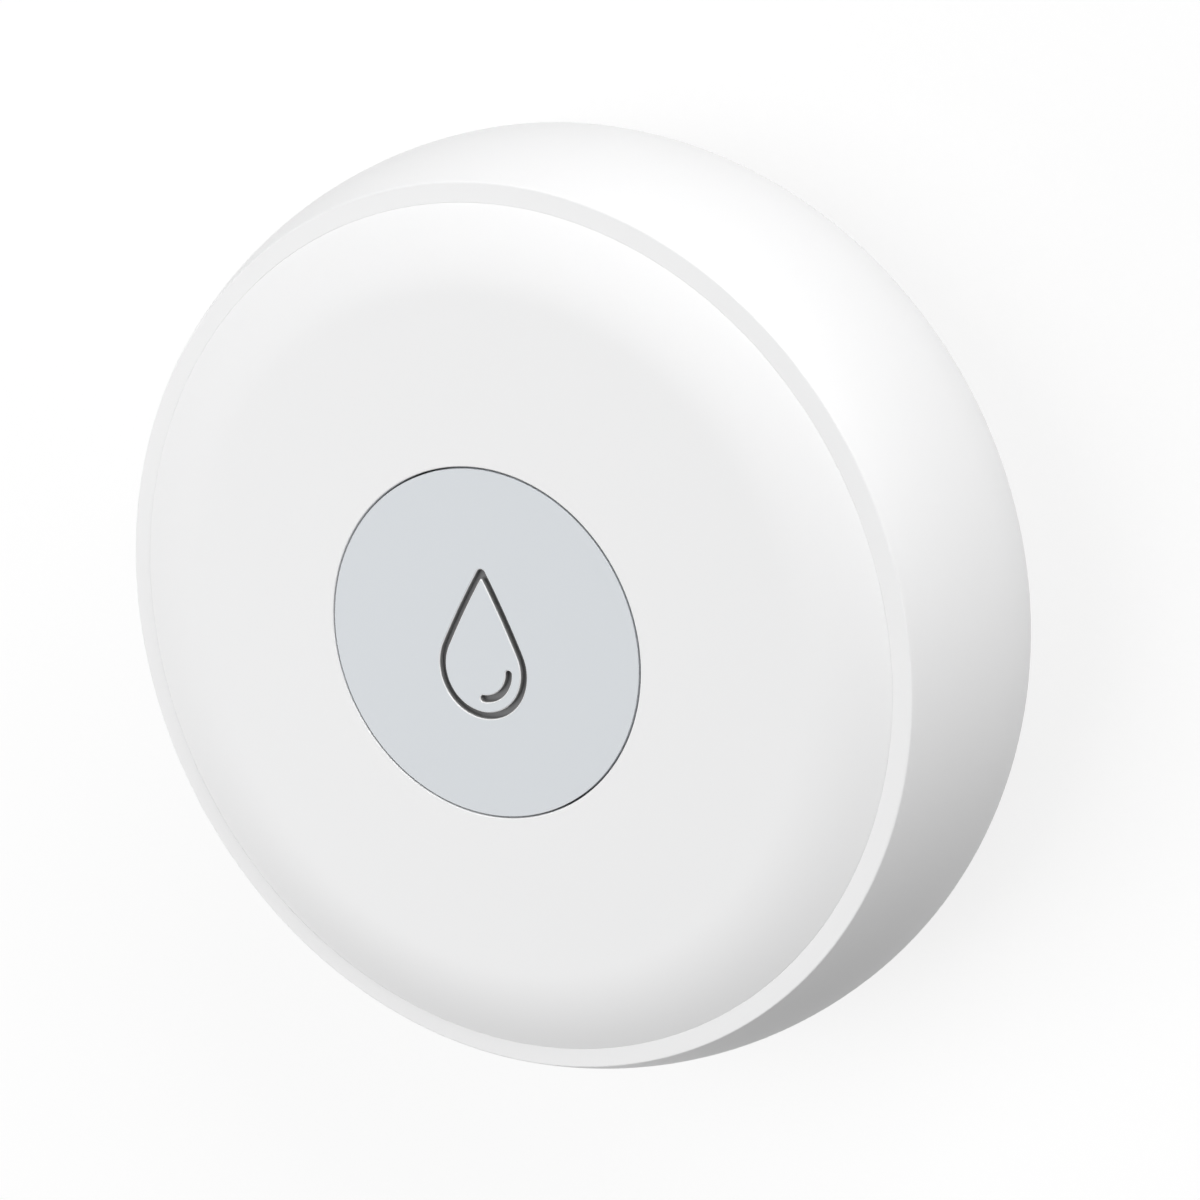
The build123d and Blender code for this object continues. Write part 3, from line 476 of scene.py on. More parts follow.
print("colour drifts over", DRIFT_WIDTH, "mm")

# %% The finishes of the outside
white_plastic = finish("white_plastic", (0.865, 0.865, 0.867), 0.5, grain=0.12, drift=0.004, rise=0.0006)
silver_lacquer = finish("silver_lacquer", (0.596, 0.621, 0.645), 0.6, grain=0.05, drift=0.006,
                        rise=0.0004, Metallic=0.15)
groove_lacquer = finish("groove_lacquer", (0.30, 0.30, 0.302), 0.55, grain=0.05, drift=0.05, rise=0.0004)
smoked_window = finish("smoked_window", (0.12, 0.12, 0.123), 0.45, grain=0.2, drift=0.05, rise=0.0004)
for paint in (white_plastic, silver_lacquer, groove_lacquer, smoked_window):
    print(paint.name, len(paint.node_tree.nodes), "nodes")

# %% [markdown]
# ## The housing
#
# The housing is one moulding: a back, a side that swells to a belly, and a flat rim round the face.
# A subdivided cylinder could be pulled to this shape by eye, but its radii would only be near. Its
# profile is drawn instead as a closed loop, outer skin and inner wall together, so the turned solid
# has its real wall. The side is two arcs that meet upright at the belly. Bosses and stops are joined
# to the shell afterwards, and the screws' seats are cut with turned cutters on the same circles as in
# the CAD model.

# %% Housing sizes
BACK_FILLET = 1.2
FLOOR_THICKNESS = 2.0
TAB_THICKNESS = 1.4
BAY_FOOT = 1.6
BAY_WALL = 1.6
BAY_TO_BOARD = 0.4
CORNER_EDGE, FOOT_EDGE, RIM_EDGE = 1.5, 0.6, 0.12
SIDE_STEPS, FILLET_STEPS = 36, 8

ledge_z = heights_of("cover_gasket")[0]
recess_z = heights_of("door_seal")[1]
floor_z = back_z + FLOOR_THICKNESS
tab_z = recess_z + TAB_THICKNESS
bay_top_z = heights_of("circuit_board")[0] - BAY_TO_BOARD
tab_radius = radii_at("housing", recess_z)[0]
cavity_radius = radii_at("cover_gasket", ledge_z)[0]
floor_corner_radius = radii_at("housing", floor_z)[1]
bay_radius = radii_at("housing", bay_top_z)[1] - BAY_WALL
print("ledge", round(ledge_z, 2), "recess", round(recess_z, 2), "bay", round(bay_radius, 2))


# %% The side's two arcs
def side_corners():
    """From the back's flat through its fillet and the belly, up to just below the rim."""
    reach = body_radius - back_flat_radius
    rise = belly_z - back_z - BACK_FILLET
    radius = (reach ** 2 + rise ** 2 - BACK_FILLET ** 2) / (2 * (reach - BACK_FILLET))
    meeting = math.degrees(math.atan2(-rise, back_flat_radius - body_radius + radius))
    fillet = arc_points((back_flat_radius, back_z + BACK_FILLET), BACK_FILLET, -90, meeting, FILLET_STEPS)
    belly = arc_points((body_radius - radius, belly_z), radius, meeting, 0, SIDE_STEPS)
    upper = tangent_arc((body_radius, belly_z), (0, 1), (rim_outer, rim_z), SIDE_STEPS)
    return [(r, z, 0) for r, z in fillet + belly[1:]] + upper[1:-1]


# %% The housing's shell
housing_corners = [
    (recess_radius, back_z, SOFT_EDGE),
    *side_corners(),
    (rim_outer, rim_z, RIM_EDGE),
    (rim_inner, rim_z, SEAM_EDGE),
    (rim_inner, ledge_z, FINE_EDGE),
    (cavity_radius, ledge_z, FINE_EDGE),
    (cavity_radius, floor_z + FLOOR_THICKNESS, CORNER_EDGE),
    (floor_corner_radius, floor_z, FOOT_EDGE),
    (recess_radius + BAY_FOOT, floor_z, SOFT_EDGE),
    (recess_radius + BAY_FOOT, tab_z, SOFT_EDGE),
    (bay_radius + BAY_WALL, tab_z, SOFT_EDGE),
    (bay_radius + BAY_WALL, bay_top_z, SOFT_EDGE),
    (bay_radius, bay_top_z, SOFT_EDGE),
    (bay_radius, tab_z, FINE_EDGE),
    (tab_radius, tab_z, FINE_EDGE),
    (tab_radius, recess_z, FINE_EDGE),
    (recess_radius, recess_z, FINE_EDGE),
]
housing = turned("housing_shell", soften(housing_corners), white_plastic)
print("housing shell", len(housing.data.vertices), "points")

# %% [markdown]
# ## Bosses, stops and seats
#
# The probe screws and the case screws each stand on a boss, and three tabs hold the battery door's
# lugs, with a stop at each end of their travel. They could be drawn into one mesh by hand, but then a
# size could only be changed by hand too. A boss is a turned solid, a stop a small prism, and the
# circle tree repeats them. The cutters for the screws' seats carry a narrow cone at their mouth, which
# leaves the bright bevel of a moulded seat.

# %% Screw circles, a boss and a seat's cutter
OVERRUN = 0.6
MOUTH_BEVEL = 0.12
SCREW_COUNT = 4
PROBE_START, CASE_START, CLAMP_START = 45, 0, 45


def circle_of(node):
    """Radius of the circle that a node's copies stand on."""
    radii = [math.hypot(v.co.x, v.co.y) / MM for v in nodes[node].data.vertices]
    return round((min(radii) + max(radii)) / 2, 2)


def boss(name, radius, low_z, high_z, edge=SOFT_EDGE):
    """A round boss of the white plastic, standing on the axis."""
    corners = [(0, low_z, 0), (radius, low_z, 0), (radius, high_z, edge), (0, high_z, 0)]
    return turned(name, soften(corners, closed=False), white_plastic, BOSS_SEGMENTS, closed=False)


def seat_cutter(name, seat_radius, seat_z, bore_radius, bore_z):
    """A stepped pin with a flared mouth, which cuts a screw's seat and hole from the back."""
    points = [
        (0, back_z - OVERRUN), (seat_radius + MOUTH_BEVEL + OVERRUN, back_z - OVERRUN),
        (seat_radius, back_z + MOUTH_BEVEL), (seat_radius, seat_z), (bore_radius, seat_z),
        (bore_radius, bore_z + OVERRUN), (0, bore_z + OVERRUN),
    ]
    return turned(name, points, white_plastic, SEAT_SEGMENTS, closed=False)


probe_ring = SCREW_COUNT, circle_of("probe_screws"), PROBE_START
case_ring = SCREW_COUNT, circle_of("case_screws"), CASE_START
print("probe screws", probe_ring, "case screws", case_ring)

# %% Bosses joined, then seats cut
PROBE_BOSS_RADIUS, CASE_BOSS_RADIUS = 3.2, 3.3
PROBE_SEAT_RADIUS, CASE_SEAT_RADIUS = 2.4, 2.1
PROBE_HOLE_RADIUS, CASE_HOLE_RADIUS = 1.35, 1.15
CASE_SEAT_DEPTH, CASE_BOSS_HEIGHT = 1.6, 2.2
boss_root_z = back_z + FLOOR_THICKNESS / 2
probe_boss_z = heights_of("probe_standoffs")[0]
probe_seat_z = heights_of("probe_orings")[1]
case_seat_z = back_z + CASE_SEAT_DEPTH
case_boss_z = case_seat_z + CASE_BOSS_HEIGHT

probe_boss = boss("probe_boss", PROBE_BOSS_RADIUS, boss_root_z, probe_boss_z)
case_boss = boss("case_boss", CASE_BOSS_RADIUS, boss_root_z, case_boss_z)
join_round(housing, probe_boss, *probe_ring)
join_round(housing, case_boss, *case_ring)
probe_cutter = seat_cutter("probe_seat", PROBE_SEAT_RADIUS, probe_seat_z, PROBE_HOLE_RADIUS, probe_boss_z)
case_cutter = seat_cutter("case_seat", CASE_SEAT_RADIUS, case_seat_z, CASE_HOLE_RADIUS, case_boss_z)
cut_round(housing, probe_cutter, *probe_ring)
cut_round(housing, case_cutter, *case_ring)
print("housing with seats", len(housing.data.vertices), "points")

# %% Passages for the lugs, and the stops of their travel
LUG_COUNT = 3
LUG_ANGLE, STOP_ANGLE, STOP_PLAY, TWIST = 28, 4, 1, 35
PASSAGE_ANGLE, PASSAGE_START = 84, 60
EMBED = 0.1
HAIR = 0.02
cup_top_z = heights_of("battery_door")[1]

passage = prism("passage", sector(tab_radius - EMBED, bay_radius - HAIR, PASSAGE_ANGLE), recess_z - EMBED,
                tab_z + EMBED, white_plastic)
cut_round(housing, passage, LUG_COUNT, 0, PASSAGE_START)
reach = LUG_ANGLE / 2 + STOP_PLAY + STOP_ANGLE / 2
for angle in (reach, -TWIST - reach):
    stop = prism("stop", sector(tab_radius + HAIR, bay_radius + EMBED, STOP_ANGLE, NARROW_STEPS),
                 tab_z - EMBED, cup_top_z, white_plastic)
    join_round(housing, stop, LUG_COUNT, 0, angle)
print("stops at", reach, "and", -TWIST - reach, "degrees from each lug")

# %% Index marks, and the housing is done
MARK_RADIUS, MARK_DEPTH, MARK_INSET = 0.45, 0.3, 1.1
MARK_STEPS, MARK_OVERRUN = 6, 20
MARK_START = -90


def mark_cutter(name):
    """A ball-ended pin that leaves a small round dimple in the back."""
    ball = (MARK_RADIUS ** 2 + MARK_DEPTH ** 2) / (2 * MARK_DEPTH)
    centre_z = back_z + MARK_DEPTH - ball
    flare = math.degrees(math.asin(MARK_RADIUS / ball))
    points = arc_points((0, centre_z), ball, 90, 90 - flare - MARK_OVERRUN, MARK_STEPS)
    points += [(points[-1][0], back_z - OVERRUN), (0, back_z - OVERRUN)]
    return turned(name, points, white_plastic, MARK_SEGMENTS, closed=False)


for angle in (MARK_START, MARK_START - TWIST):
    cut_round(housing, mark_cutter("mark"), 1, recess_radius + MARK_INSET, angle)
seat(shade(housing), "case", "white_case", "housing")

# %% [markdown]
# ## The front cover
#
# The cover is a ring: its inner edge surrounds the button, and its pillow edge is one arc that leaves
# the flat face smoothly and ends at the rim. Subdivision could make the pillow too, but would also
# soften the flat face. The arc is worked out from its two ends and its direction at the first. Inside,
# the cover carries the button's well, a lip that goes into the housing, four ears for the clamp ring
# and four posts for the case screws. The edge at the button is trimmed by a hair, so that the gap
# shows as fine a line as in the photograph.

# %% Front cover sizes
PILLOW_STEPS = 40
LIP_GAP, LIP_WALL, LIP_HEIGHT = 0.15, 1.05, 1.5
FACE_THICKNESS = 2.0
COLLAR_HEIGHT = 1.15
WELL_WALL = 1.8
GAP_TRIM = 0.015
HOLE_EDGE = 0.07
cover_seat_z = heights_of("cover_gasket")[1]
cover_under_z = top_z - FACE_THICKNESS
collar_z = cover_under_z - COLLAR_HEIGHT
well_z = heights_of("button_membrane")[1]
well_outer = radii_at("front_cover", well_z)[1]
well_radius = well_outer - WELL_WALL
print("well", round(well_radius, 2), round(well_outer, 2), "up to", round(collar_z, 2))

# %% The cover's shell
pillow = tangent_arc((pillow_start, top_z), (1, 0), (rim_inner, rim_z), PILLOW_STEPS)
lip_radius = cavity_radius - LIP_GAP
cover_corners = [
    (hole_radius - GAP_TRIM, top_z, HOLE_EDGE),
    *pillow[:-1],
    (rim_inner, rim_z, SEAM_EDGE),
    (rim_inner, cover_seat_z, FINE_EDGE),
    (lip_radius, cover_seat_z, FINE_EDGE),
    (lip_radius, cover_seat_z - LIP_HEIGHT, WIDE_EDGE),
    (lip_radius - LIP_WALL, cover_seat_z - LIP_HEIGHT, WIDE_EDGE),
    (lip_radius - LIP_WALL, cover_under_z, OPEN_EDGE),
    (well_outer, cover_under_z, OPEN_EDGE),
    (well_outer, well_z, FINE_EDGE),
    (well_radius, well_z, FINE_EDGE),
    (well_radius, collar_z, FINE_EDGE),
    (hole_radius - GAP_TRIM, collar_z, FINE_EDGE),
]
cover = turned("front_cover_shell", soften(cover_corners), white_plastic)
print("front cover", len(cover.data.vertices), "points")

# %% Posts, ears and keys behind the cover
POST_RADIUS, POST_BORE, POST_GAP, POST_SPARE = 2.4, 1.02, 0.05, 1.0
EAR_RADIUS, EAR_BORE, EAR_SPARE = 1.9, 0.72, 0.3
KEY_COUNT, KEY_WIDTH, KEY_REACH = 2, 1.5, 1.1
clamp_ring = SCREW_COUNT, circle_of("clamp_screws"), CLAMP_START
post_z = case_boss_z + POST_GAP
membrane_z = heights_of("membrane_clamp")[1]
case_bore_z = heights_of("case_screws")[1] + POST_SPARE
ear_bore_z = heights_of("clamp_screws")[1] + EAR_SPARE


def pin(name, radius, low_z, high_z):
    """A plain round cutter."""
    points = [(0, low_z), (radius, low_z), (radius, high_z), (0, high_z)]
    return turned(name, points, white_plastic, PIN_SEGMENTS, closed=False)


root_z = cover_under_z + FACE_THICKNESS / 4
post = boss("post", POST_RADIUS, root_z, post_z)
ear = boss("ear", EAR_RADIUS, root_z, membrane_z, FINE_EDGE)
join_round(cover, post, *case_ring)
join_round(cover, ear, *clamp_ring)
key = prism("key", box_outline(well_radius - KEY_REACH, well_radius + EMBED, KEY_WIDTH), well_z + HAIR,
            collar_z + EMBED, white_plastic)
join_round(cover, key, KEY_COUNT, 0)
post_bore = pin("post_bore", POST_BORE, post_z - OVERRUN, case_bore_z)
ear_bore = pin("ear_bore", EAR_BORE, membrane_z - OVERRUN, ear_bore_z)
cut_round(cover, post_bore, *case_ring)
cut_round(cover, ear_bore, *clamp_ring)
seat(shade(cover), "case", "white_case", "front_cover")

# %% [markdown]
# ## The button's cap
#
# The cap is a lacquered disc whose top is flush with the face, with a flange below that keeps it in.
# Its droplet is a groove with a flat floor. A bump or a dark line on the surface could draw it, but
# only a real groove has walls that take light and shadow from each side. So it is cut, and its cutter
# is a stack of outlines, one for each height. The outline is worked out once, for any inset: a round
# bowl, two long shoulders and a small round tip. Each arc of an inset copy keeps its centre, so the
# stroke's width stays even. The dark window is a thin strip on the groove's floor, which the lamps
# inside light up.

# %% The droplet's outline at any inset
DROPLET_RADIUS, DROPLET_APEX = 3.11, 6.62
SHOULDER_ANGLE = 25
STROKE = 0.42
TIP_ROUND, ISLAND_ROUND = 0.32, 0.1
DROPLET_SHIFT = 1.58
GLINT_RADIUS, GLINT_STROKE = 1.83, 0.44
SHOULDER_STEPS, TIP_STEPS, BOWL_STEPS = 20, 16, 90
GLINT_STEPS, GLINT_END_STEPS = 30, 10


def droplet(inset, tip_round):
    """Points round a droplet, drawn in by an inset; each inset gives the same number of points."""
    lean = math.radians(SHOULDER_ANGLE)
    inward = Vector((-math.cos(lean), -math.sin(lean)))
    foot = -inward * DROPLET_RADIUS
    chord = Vector((0, DROPLET_APEX)) - foot
    shoulder_radius = chord.length_squared / (2 * chord.dot(inward))
    centre = foot + inward * shoulder_radius
    reach = shoulder_radius - inset
    tip_y = centre.y + math.sqrt((reach - tip_round) ** 2 - centre.x ** 2)
    meeting = math.degrees(math.atan2(tip_y - centre.y, -centre.x))
    right = arc_points(centre, reach, SHOULDER_ANGLE, meeting, SHOULDER_STEPS)
    tip = arc_points((0, tip_y), tip_round, meeting, 180 - meeting, TIP_STEPS)
    left = [(-x, y) for x, y in reversed(right)]
    bowl = arc_points((0, 0), DROPLET_RADIUS - inset, 180 - SHOULDER_ANGLE, 360 + SHOULDER_ANGLE,
                      BOWL_STEPS)
    outline = right + tip[1:-1] + left + bowl[1:-1]
    return [(x, y - DROPLET_SHIFT) for x, y in outline]


def glint(inset):
    """The quarter-circle slot inside the droplet, with round ends."""
    half = GLINT_STROKE / 2 - inset
    outer = arc_points((0, 0), GLINT_RADIUS + half, -90, 0, GLINT_STEPS)
    inner = arc_points((0, 0), GLINT_RADIUS - half, 0, -90, GLINT_STEPS)
    end = arc_points((GLINT_RADIUS, 0), half, 0, 180, GLINT_END_STEPS)
    start = arc_points((0, -GLINT_RADIUS), half, 90, 270, GLINT_END_STEPS)
    outline = outer + end[1:-1] + inner + start[1:-1]
    return [(x, y - DROPLET_SHIFT) for x, y in outline]


print("droplet outline", len(droplet(0, TIP_ROUND)), "points, glint", len(glint(0)))


# %% Stacks of outlines
def loft(name, levels, materials, bands, closed):
    """Joins outlines of equal length, each (points, height); closed joins the last to the first."""
    body = bmesh.new()
    loops = []
    for points, height in levels:
        loops.append([body.verts.new((x * MM, y * MM, height * MM)) for x, y in points])
    pairs = list(zip(loops, loops[1:])) + ([(loops[-1], loops[0])] if closed else [])
    for (low, high), band in zip(pairs, bands):
        for place in range(len(low)):
            following = (place + 1) % len(low)
            face = body.faces.new((low[place], low[following], high[following], high[place]))
            face.material_index = band
    if not closed:
        body.faces.new(loops[0])
        body.faces.new(loops[-1])
    bmesh.ops.recalc_face_normals(body, faces=body.faces)
    mesh = bpy.data.meshes.new(name)
    body.to_mesh(mesh)
    body.free()
    for material in materials:
        mesh.materials.append(material)
    return new_object(name, mesh)


# %% Cap and flange sizes
FLANGE_GAP, FLANGE_THICKNESS = 0.05, 0.8
STEM_RADIUS = 1.6
KEY_GAP = 0.15
flange_top_z = collar_z - FLANGE_GAP
flange_z = flange_top_z - FLANGE_THICKNESS
button_radius, flange_radius = radii_at("button_cap", flange_top_z)
skirt_radius = radii_at("button_cap", flange_z)[0]
plate_under_z = heights_of("light_guide")[1]
groove_z, window_z = heights_of("droplet_window")
print("button", round(button_radius, 2), "flange", round(flange_radius, 2))

# %% The cap's disc, with notches for the keys
cap_corners = [
    (0, top_z, 0),
    (button_radius + GAP_TRIM, top_z, SEAM_EDGE),
    (button_radius + GAP_TRIM, flange_top_z, FINE_EDGE),
    (flange_radius, flange_top_z, FINE_EDGE),
    (flange_radius, flange_z, FINE_EDGE),
    (skirt_radius, flange_z, FINE_EDGE),
    (skirt_radius, plate_under_z, WIDE_EDGE),
    (STEM_RADIUS, plate_under_z, WIDE_EDGE),
    (STEM_RADIUS, well_z, FINE_EDGE),
    (0, well_z, 0),
]
cap = turned("button_cap_disc", soften(cap_corners, closed=False), silver_lacquer, closed=False)
notch_outline = box_outline(well_radius - KEY_REACH - KEY_GAP, well_radius, KEY_WIDTH + 2 * KEY_GAP)
notch = prism("notch", notch_outline, flange_z - EMBED, flange_top_z + HAIR, silver_lacquer)
cut_round(cap, notch, KEY_COUNT, 0)
print("cap", len(cap.data.vertices), "points")

# %% The groove of the droplet and its glint
FLARE = 0.055
LIFT = 0.3
# The mouth band is a real bevel painted white all round, a painted highlight on the silver disc.
WALL, PAINTED_HIGHLIGHT_MOUTH = 0, 1


def groove_cutter(name, side, other_side=None):
    """A cutter with upright dark walls, and a flare at its mouth whose bevel takes the white plastic: a
    painted highlight along the groove's edge.
    """
    flared = FLARE + LIFT
    levels = [(side(0), groove_z), (side(0), top_z - FLARE), (side(-flared), top_z + LIFT)]
    bands = [WALL, PAINTED_HIGHLIGHT_MOUTH]
    if other_side:
        levels += [(other_side(-flared), top_z + LIFT), (other_side(0), top_z - FLARE),
                   (other_side(0), groove_z)]
        bands += [PAINTED_HIGHLIGHT_MOUTH, PAINTED_HIGHLIGHT_MOUTH, WALL, WALL]
    return loft(name, levels, (groove_lacquer, white_plastic), bands, bool(other_side))


def droplet_outside(inset):
    """The groove's outer outline, drawn in by an inset."""
    return droplet(inset, TIP_ROUND - inset)


def droplet_island(inset):
    """The island's outline; a negative inset draws the cutter into the island."""
    return droplet(STROKE - inset, max(ISLAND_ROUND + inset, HAIR))


combine(cap, groove_cutter("droplet_groove", droplet_outside, droplet_island), "DIFFERENCE")
combine(cap, groove_cutter("glint_groove", glint), "DIFFERENCE")
seat(shade(cap), "button", "silver_button", "button_cap")

# %% The smoked window on the groove's floor
WINDOW_GAP = 0.01
outside, island = droplet(WINDOW_GAP, TIP_ROUND), droplet(STROKE - WINDOW_GAP, ISLAND_ROUND)
ring_levels = [(outside, groove_z), (outside, window_z), (island, window_z), (island, groove_z)]
dash_levels = [(glint(WINDOW_GAP), groove_z), (glint(WINDOW_GAP), window_z)]
window = loft("droplet_window_strip", ring_levels, (smoked_window,), [0] * len(ring_levels), True)
dash = loft("glint_strip", dash_levels, (smoked_window,), [0], False)
combine(window, dash, "UNION")
seat(shade(window), "button", "smoked_window", "droplet_window")

# %% [markdown]
# ## The battery door
#
# The door is a cap with a cup for the cell. Three lugs lock it behind the housing's tabs when it is
# turned with a coin, so its back has a slot with a flared mouth and round ends. The cap could be an
# extruded disc with bevels, but its profile has eight corners, so it is turned as the shells are. The
# slot is a loft of two outlines, because a loft can flare and a plain prism can't.

# %% The door's cap and lugs
LUG_THICKNESS, LUG_ROOT = 1.0, 0.5
DOOR_GAP = 0.2
door_radius = recess_radius - DOOR_GAP
door_top_z = heights_of("door_seal")[0]
cell_z = heights_of("coin_cell")[0]
cup_inner, lug_radius = radii_at("battery_door", cup_top_z)
cup_outer = tab_radius - DOOR_GAP
door_corners = [
    (0, back_z, 0),
    (door_radius, back_z, OPEN_EDGE),
    (door_radius, door_top_z, FINE_EDGE),
    (cup_outer, door_top_z, SOFT_EDGE),
    (cup_outer, cup_top_z, WIDE_EDGE),
    (cup_inner, cup_top_z, WIDE_EDGE),
    (cup_inner, cell_z, WIDE_EDGE),
    (0, cell_z, 0),
]
door = turned("battery_door_cap", soften(door_corners, closed=False), white_plastic, closed=False)
lug = prism("lug", sector(cup_outer - LUG_ROOT, lug_radius, LUG_ANGLE), cup_top_z - LUG_THICKNESS,
            cup_top_z - HAIR, white_plastic)
join_round(door, lug, LUG_COUNT, 0)
print("door", len(door.data.vertices), "points")

# %% The coin slot, and the door is done
SLOT_LENGTH, SLOT_WIDTH, SLOT_DEPTH, SLOT_FLARE = 14.0, 1.8, 0.9, 0.15
SLOT_END_STEPS = 24


def coin_slot(growth):
    """The slot's outline, grown by a margin."""
    half = SLOT_WIDTH / 2 + growth
    middle = SLOT_LENGTH / 2 - SLOT_WIDTH / 2
    right = arc_points((middle, 0), half, -90, 90, SLOT_END_STEPS)
    return right + arc_points((-middle, 0), half, 90, 270, SLOT_END_STEPS)


slot_levels = [(coin_slot(SLOT_FLARE + OVERRUN), back_z - OVERRUN), (coin_slot(0), back_z + SLOT_FLARE),
               (coin_slot(0), back_z + SLOT_DEPTH)]
combine(door, loft("coin_slot", slot_levels, (white_plastic,), [0, 0], False), "DIFFERENCE")
cut_round(door, mark_cutter("door_mark"), 1, door_radius - MARK_INSET, MARK_START)
seat(shade(door), "battery_door", "white_case", "battery_door")

# %% [markdown]
# ## Screws
#
# The probe screws are the sensor itself: water that bridges two of them is what it notices. Every screw
# is turned: a rounded head, then a shank. A true helix would need its own sweep and a run-out at each
# end, so the thread is drawn as close rings, which look like a helix from a step away. A tapered cross
# is cut into the head. The circle tree then sets four of them round the axis and keeps each point's
# own place, which the steel uses for its turning marks.

# %% Steel with turning marks
MARK_RISE, MARK_STRENGTH = 0.002, 0.5


def turned_steel(name, colour, roughness, mark_width, **fixed):
    """Steel with fine rings round each screw's own axis."""
    material = finish(name, colour, roughness, grain=0.08, drift=0.02, rise=0.0002, Metallic=1.0, **fixed)
    tree = material.node_tree
    shader = tree.nodes["Principled BSDF"]
    own = put(tree, "ShaderNodeAttribute", {}, attribute_name="own_place").outputs["Vector"]
    flat = put(tree, "ShaderNodeVectorMath", {0: own, 1: (1, 1, 0)}, operation="MULTIPLY").outputs[0]
    across = put(tree, "ShaderNodeVectorMath", {0: flat}, operation="LENGTH").outputs["Value"]
    rings = put(tree, "ShaderNodeTexNoise",
                {"W": across, "Scale": 1 / (mark_width * MM), "Detail": 2.0}, noise_dimensions="1D")
    bump = put(tree, "ShaderNodeBump",
               {"Height": rings.outputs[0], "Distance": MARK_RISE * MM, "Strength": MARK_STRENGTH})
    tree.links.new(bump.outputs[0], shader.inputs["Normal"])
    return material


screw_steel = turned_steel("screw_steel", (0.62, 0.61, 0.59), 0.28, 0.05)
probe_steel = turned_steel("probe_steel", (0.68, 0.67, 0.65), 0.22, 0.04)
print(screw_steel.name, probe_steel.name)


# %% One screw
UNDERHEAD_EDGE = 0.08
NECK, THREAD_START, THREAD_SPARE, POINT_LENGTH = 0.3, 0.35, 0.8, 0.25
THREAD_PITCH, THREAD_DEPTH = 0.45, 0.14
RISE_SHARE, CREST_SHARE, FALL_SHARE = 0.25, 0.55, 0.7
MOUTH_SHARE, FLOOR_LENGTH_SHARE, FLOOR_WIDTH_SHARE = 1.1, 0.6, 0.8
ARMS = 4


def cross(length, width):
    """The outline of a cross, arm by arm."""
    long, short = length / 2, width / 2
    arm = [(long, -short), (long, short), (short, short)]
    outline = []
    for turn in range(ARMS):
        for x, y in arm:
            for _ in range(turn):
                x, y = -y, x
            outline.append((x, y))
    return outline


def screw(name, head_z, head_radius, head_height, edge, shank_radius, end_z, recess, steel):
    """A screw that stands head down on the axis; recess is its cross's (length, width, depth)."""
    under_z = head_z + head_height
    points = soften([(0, head_z, 0), (head_radius, head_z, edge), (head_radius, under_z, UNDERHEAD_EDGE),
                     (shank_radius, under_z, 0), (shank_radius, under_z + NECK, 0)], closed=False)
    root_radius = shank_radius - THREAD_DEPTH
    turns = int((end_z - under_z - THREAD_SPARE) / THREAD_PITCH)
    for turn in range(turns):
        low = under_z + THREAD_START + turn * THREAD_PITCH
        points += [(root_radius, low), (root_radius, low + THREAD_PITCH * RISE_SHARE),
                   (shank_radius, low + THREAD_PITCH * CREST_SHARE),
                   (shank_radius, low + THREAD_PITCH * FALL_SHARE)]
    points += [(root_radius, end_z - POINT_LENGTH), (shank_radius - 2 * THREAD_DEPTH, end_z), (0, end_z)]
    piece = turned(name, points, steel, SCREW_SEGMENTS, closed=False)
    length, width, depth = recess
    levels = [(cross(length * MOUTH_SHARE, width * MOUTH_SHARE), head_z - OVERRUN / 2),
              (cross(length, width), head_z),
              (cross(length * FLOOR_LENGTH_SHARE, width * FLOOR_WIDTH_SHARE), head_z + depth)]
    return combine(piece, loft("cross_recess", levels, (steel,), [0, 0], False), "DIFFERENCE")


print("a thread's pitch is", THREAD_PITCH, "mm")


# %% Three sets of screws
def screw_set(name, node, head_radius, head_height, edge, shank_radius, recess, ring, steel):
    """Four screws that stand for a node, from its own lowest and highest height."""
    head_z, end_z = heights_of(node)
    piece = screw(name, head_z, head_radius, head_height, edge, shank_radius, end_z, recess, steel)
    set_round(piece, *ring)
    return seat(shade(piece), "case", "steel", node)


screw_set("probe_screw_set", "probe_screws", head_radius=2.25, head_height=1.6, edge=0.5, shank_radius=1.25,
          recess=(2.2, 0.5, 0.6), ring=probe_ring, steel=probe_steel)
screw_set("case_screw_set", "case_screws", head_radius=1.9, head_height=1.3, edge=0.35, shank_radius=1.0,
          recess=(2.0, 0.45, 0.6), ring=case_ring, steel=screw_steel)
screw_set("clamp_screw_set", "clamp_screws", head_radius=1.5, head_height=0.8, edge=0.25, shank_radius=0.7,
          recess=(1.6, 0.35, 0.4), ring=clamp_ring, steel=screw_steel)

# %% [markdown]
# ## Finishes of the pieces inside
#
# The other pieces are hidden in the closed case, and their CAD shape is right. They could be modelled
# again, but nothing would show it, so they keep their meshes and get a finish each: matt grey silicone,
# brass, green solder mask, black moulding, bare copper, tin and nickel.

# %% Inner finishes
clear_guide = finish("clear_guide", (0.93, 0.94, 0.95), 0.12, grain=0.3, drift=0.01, rise=0.0002,
                     Transmission_Weight=0.85, IOR=1.49)
silicone = finish("silicone", (0.52, 0.53, 0.54), 0.6, grain=0.15, drift=0.03, rise=0.002)
brass = finish("brass", (0.80, 0.60, 0.27), 0.28, grain=0.1, drift=0.04, rise=0.0006, Metallic=1.0)
board_green = finish("board_green", (0.02, 0.14, 0.06), 0.35, grain=0.12, drift=0.1, rise=0.001)
black_plastic = finish("black_plastic", (0.018, 0.018, 0.02), 0.45, grain=0.1, drift=0.1, rise=0.0015)
lamp_plastic = finish("lamp_plastic", (0.85, 0.82, 0.68), 0.35, grain=0.2, drift=0.03, rise=0.0006)
tinned = finish("tinned_shield", (0.72, 0.72, 0.70), 0.3, grain=0.3, drift=0.03, rise=0.0008, Metallic=1.0)
copper = finish("copper_trace", (0.86, 0.45, 0.28), 0.3, grain=0.1, drift=0.04, rise=0.0005, Metallic=1.0)
nickel = finish("nickel", (0.70, 0.68, 0.64), 0.25, grain=0.4, drift=0.03, rise=0.0005, Metallic=1.0)
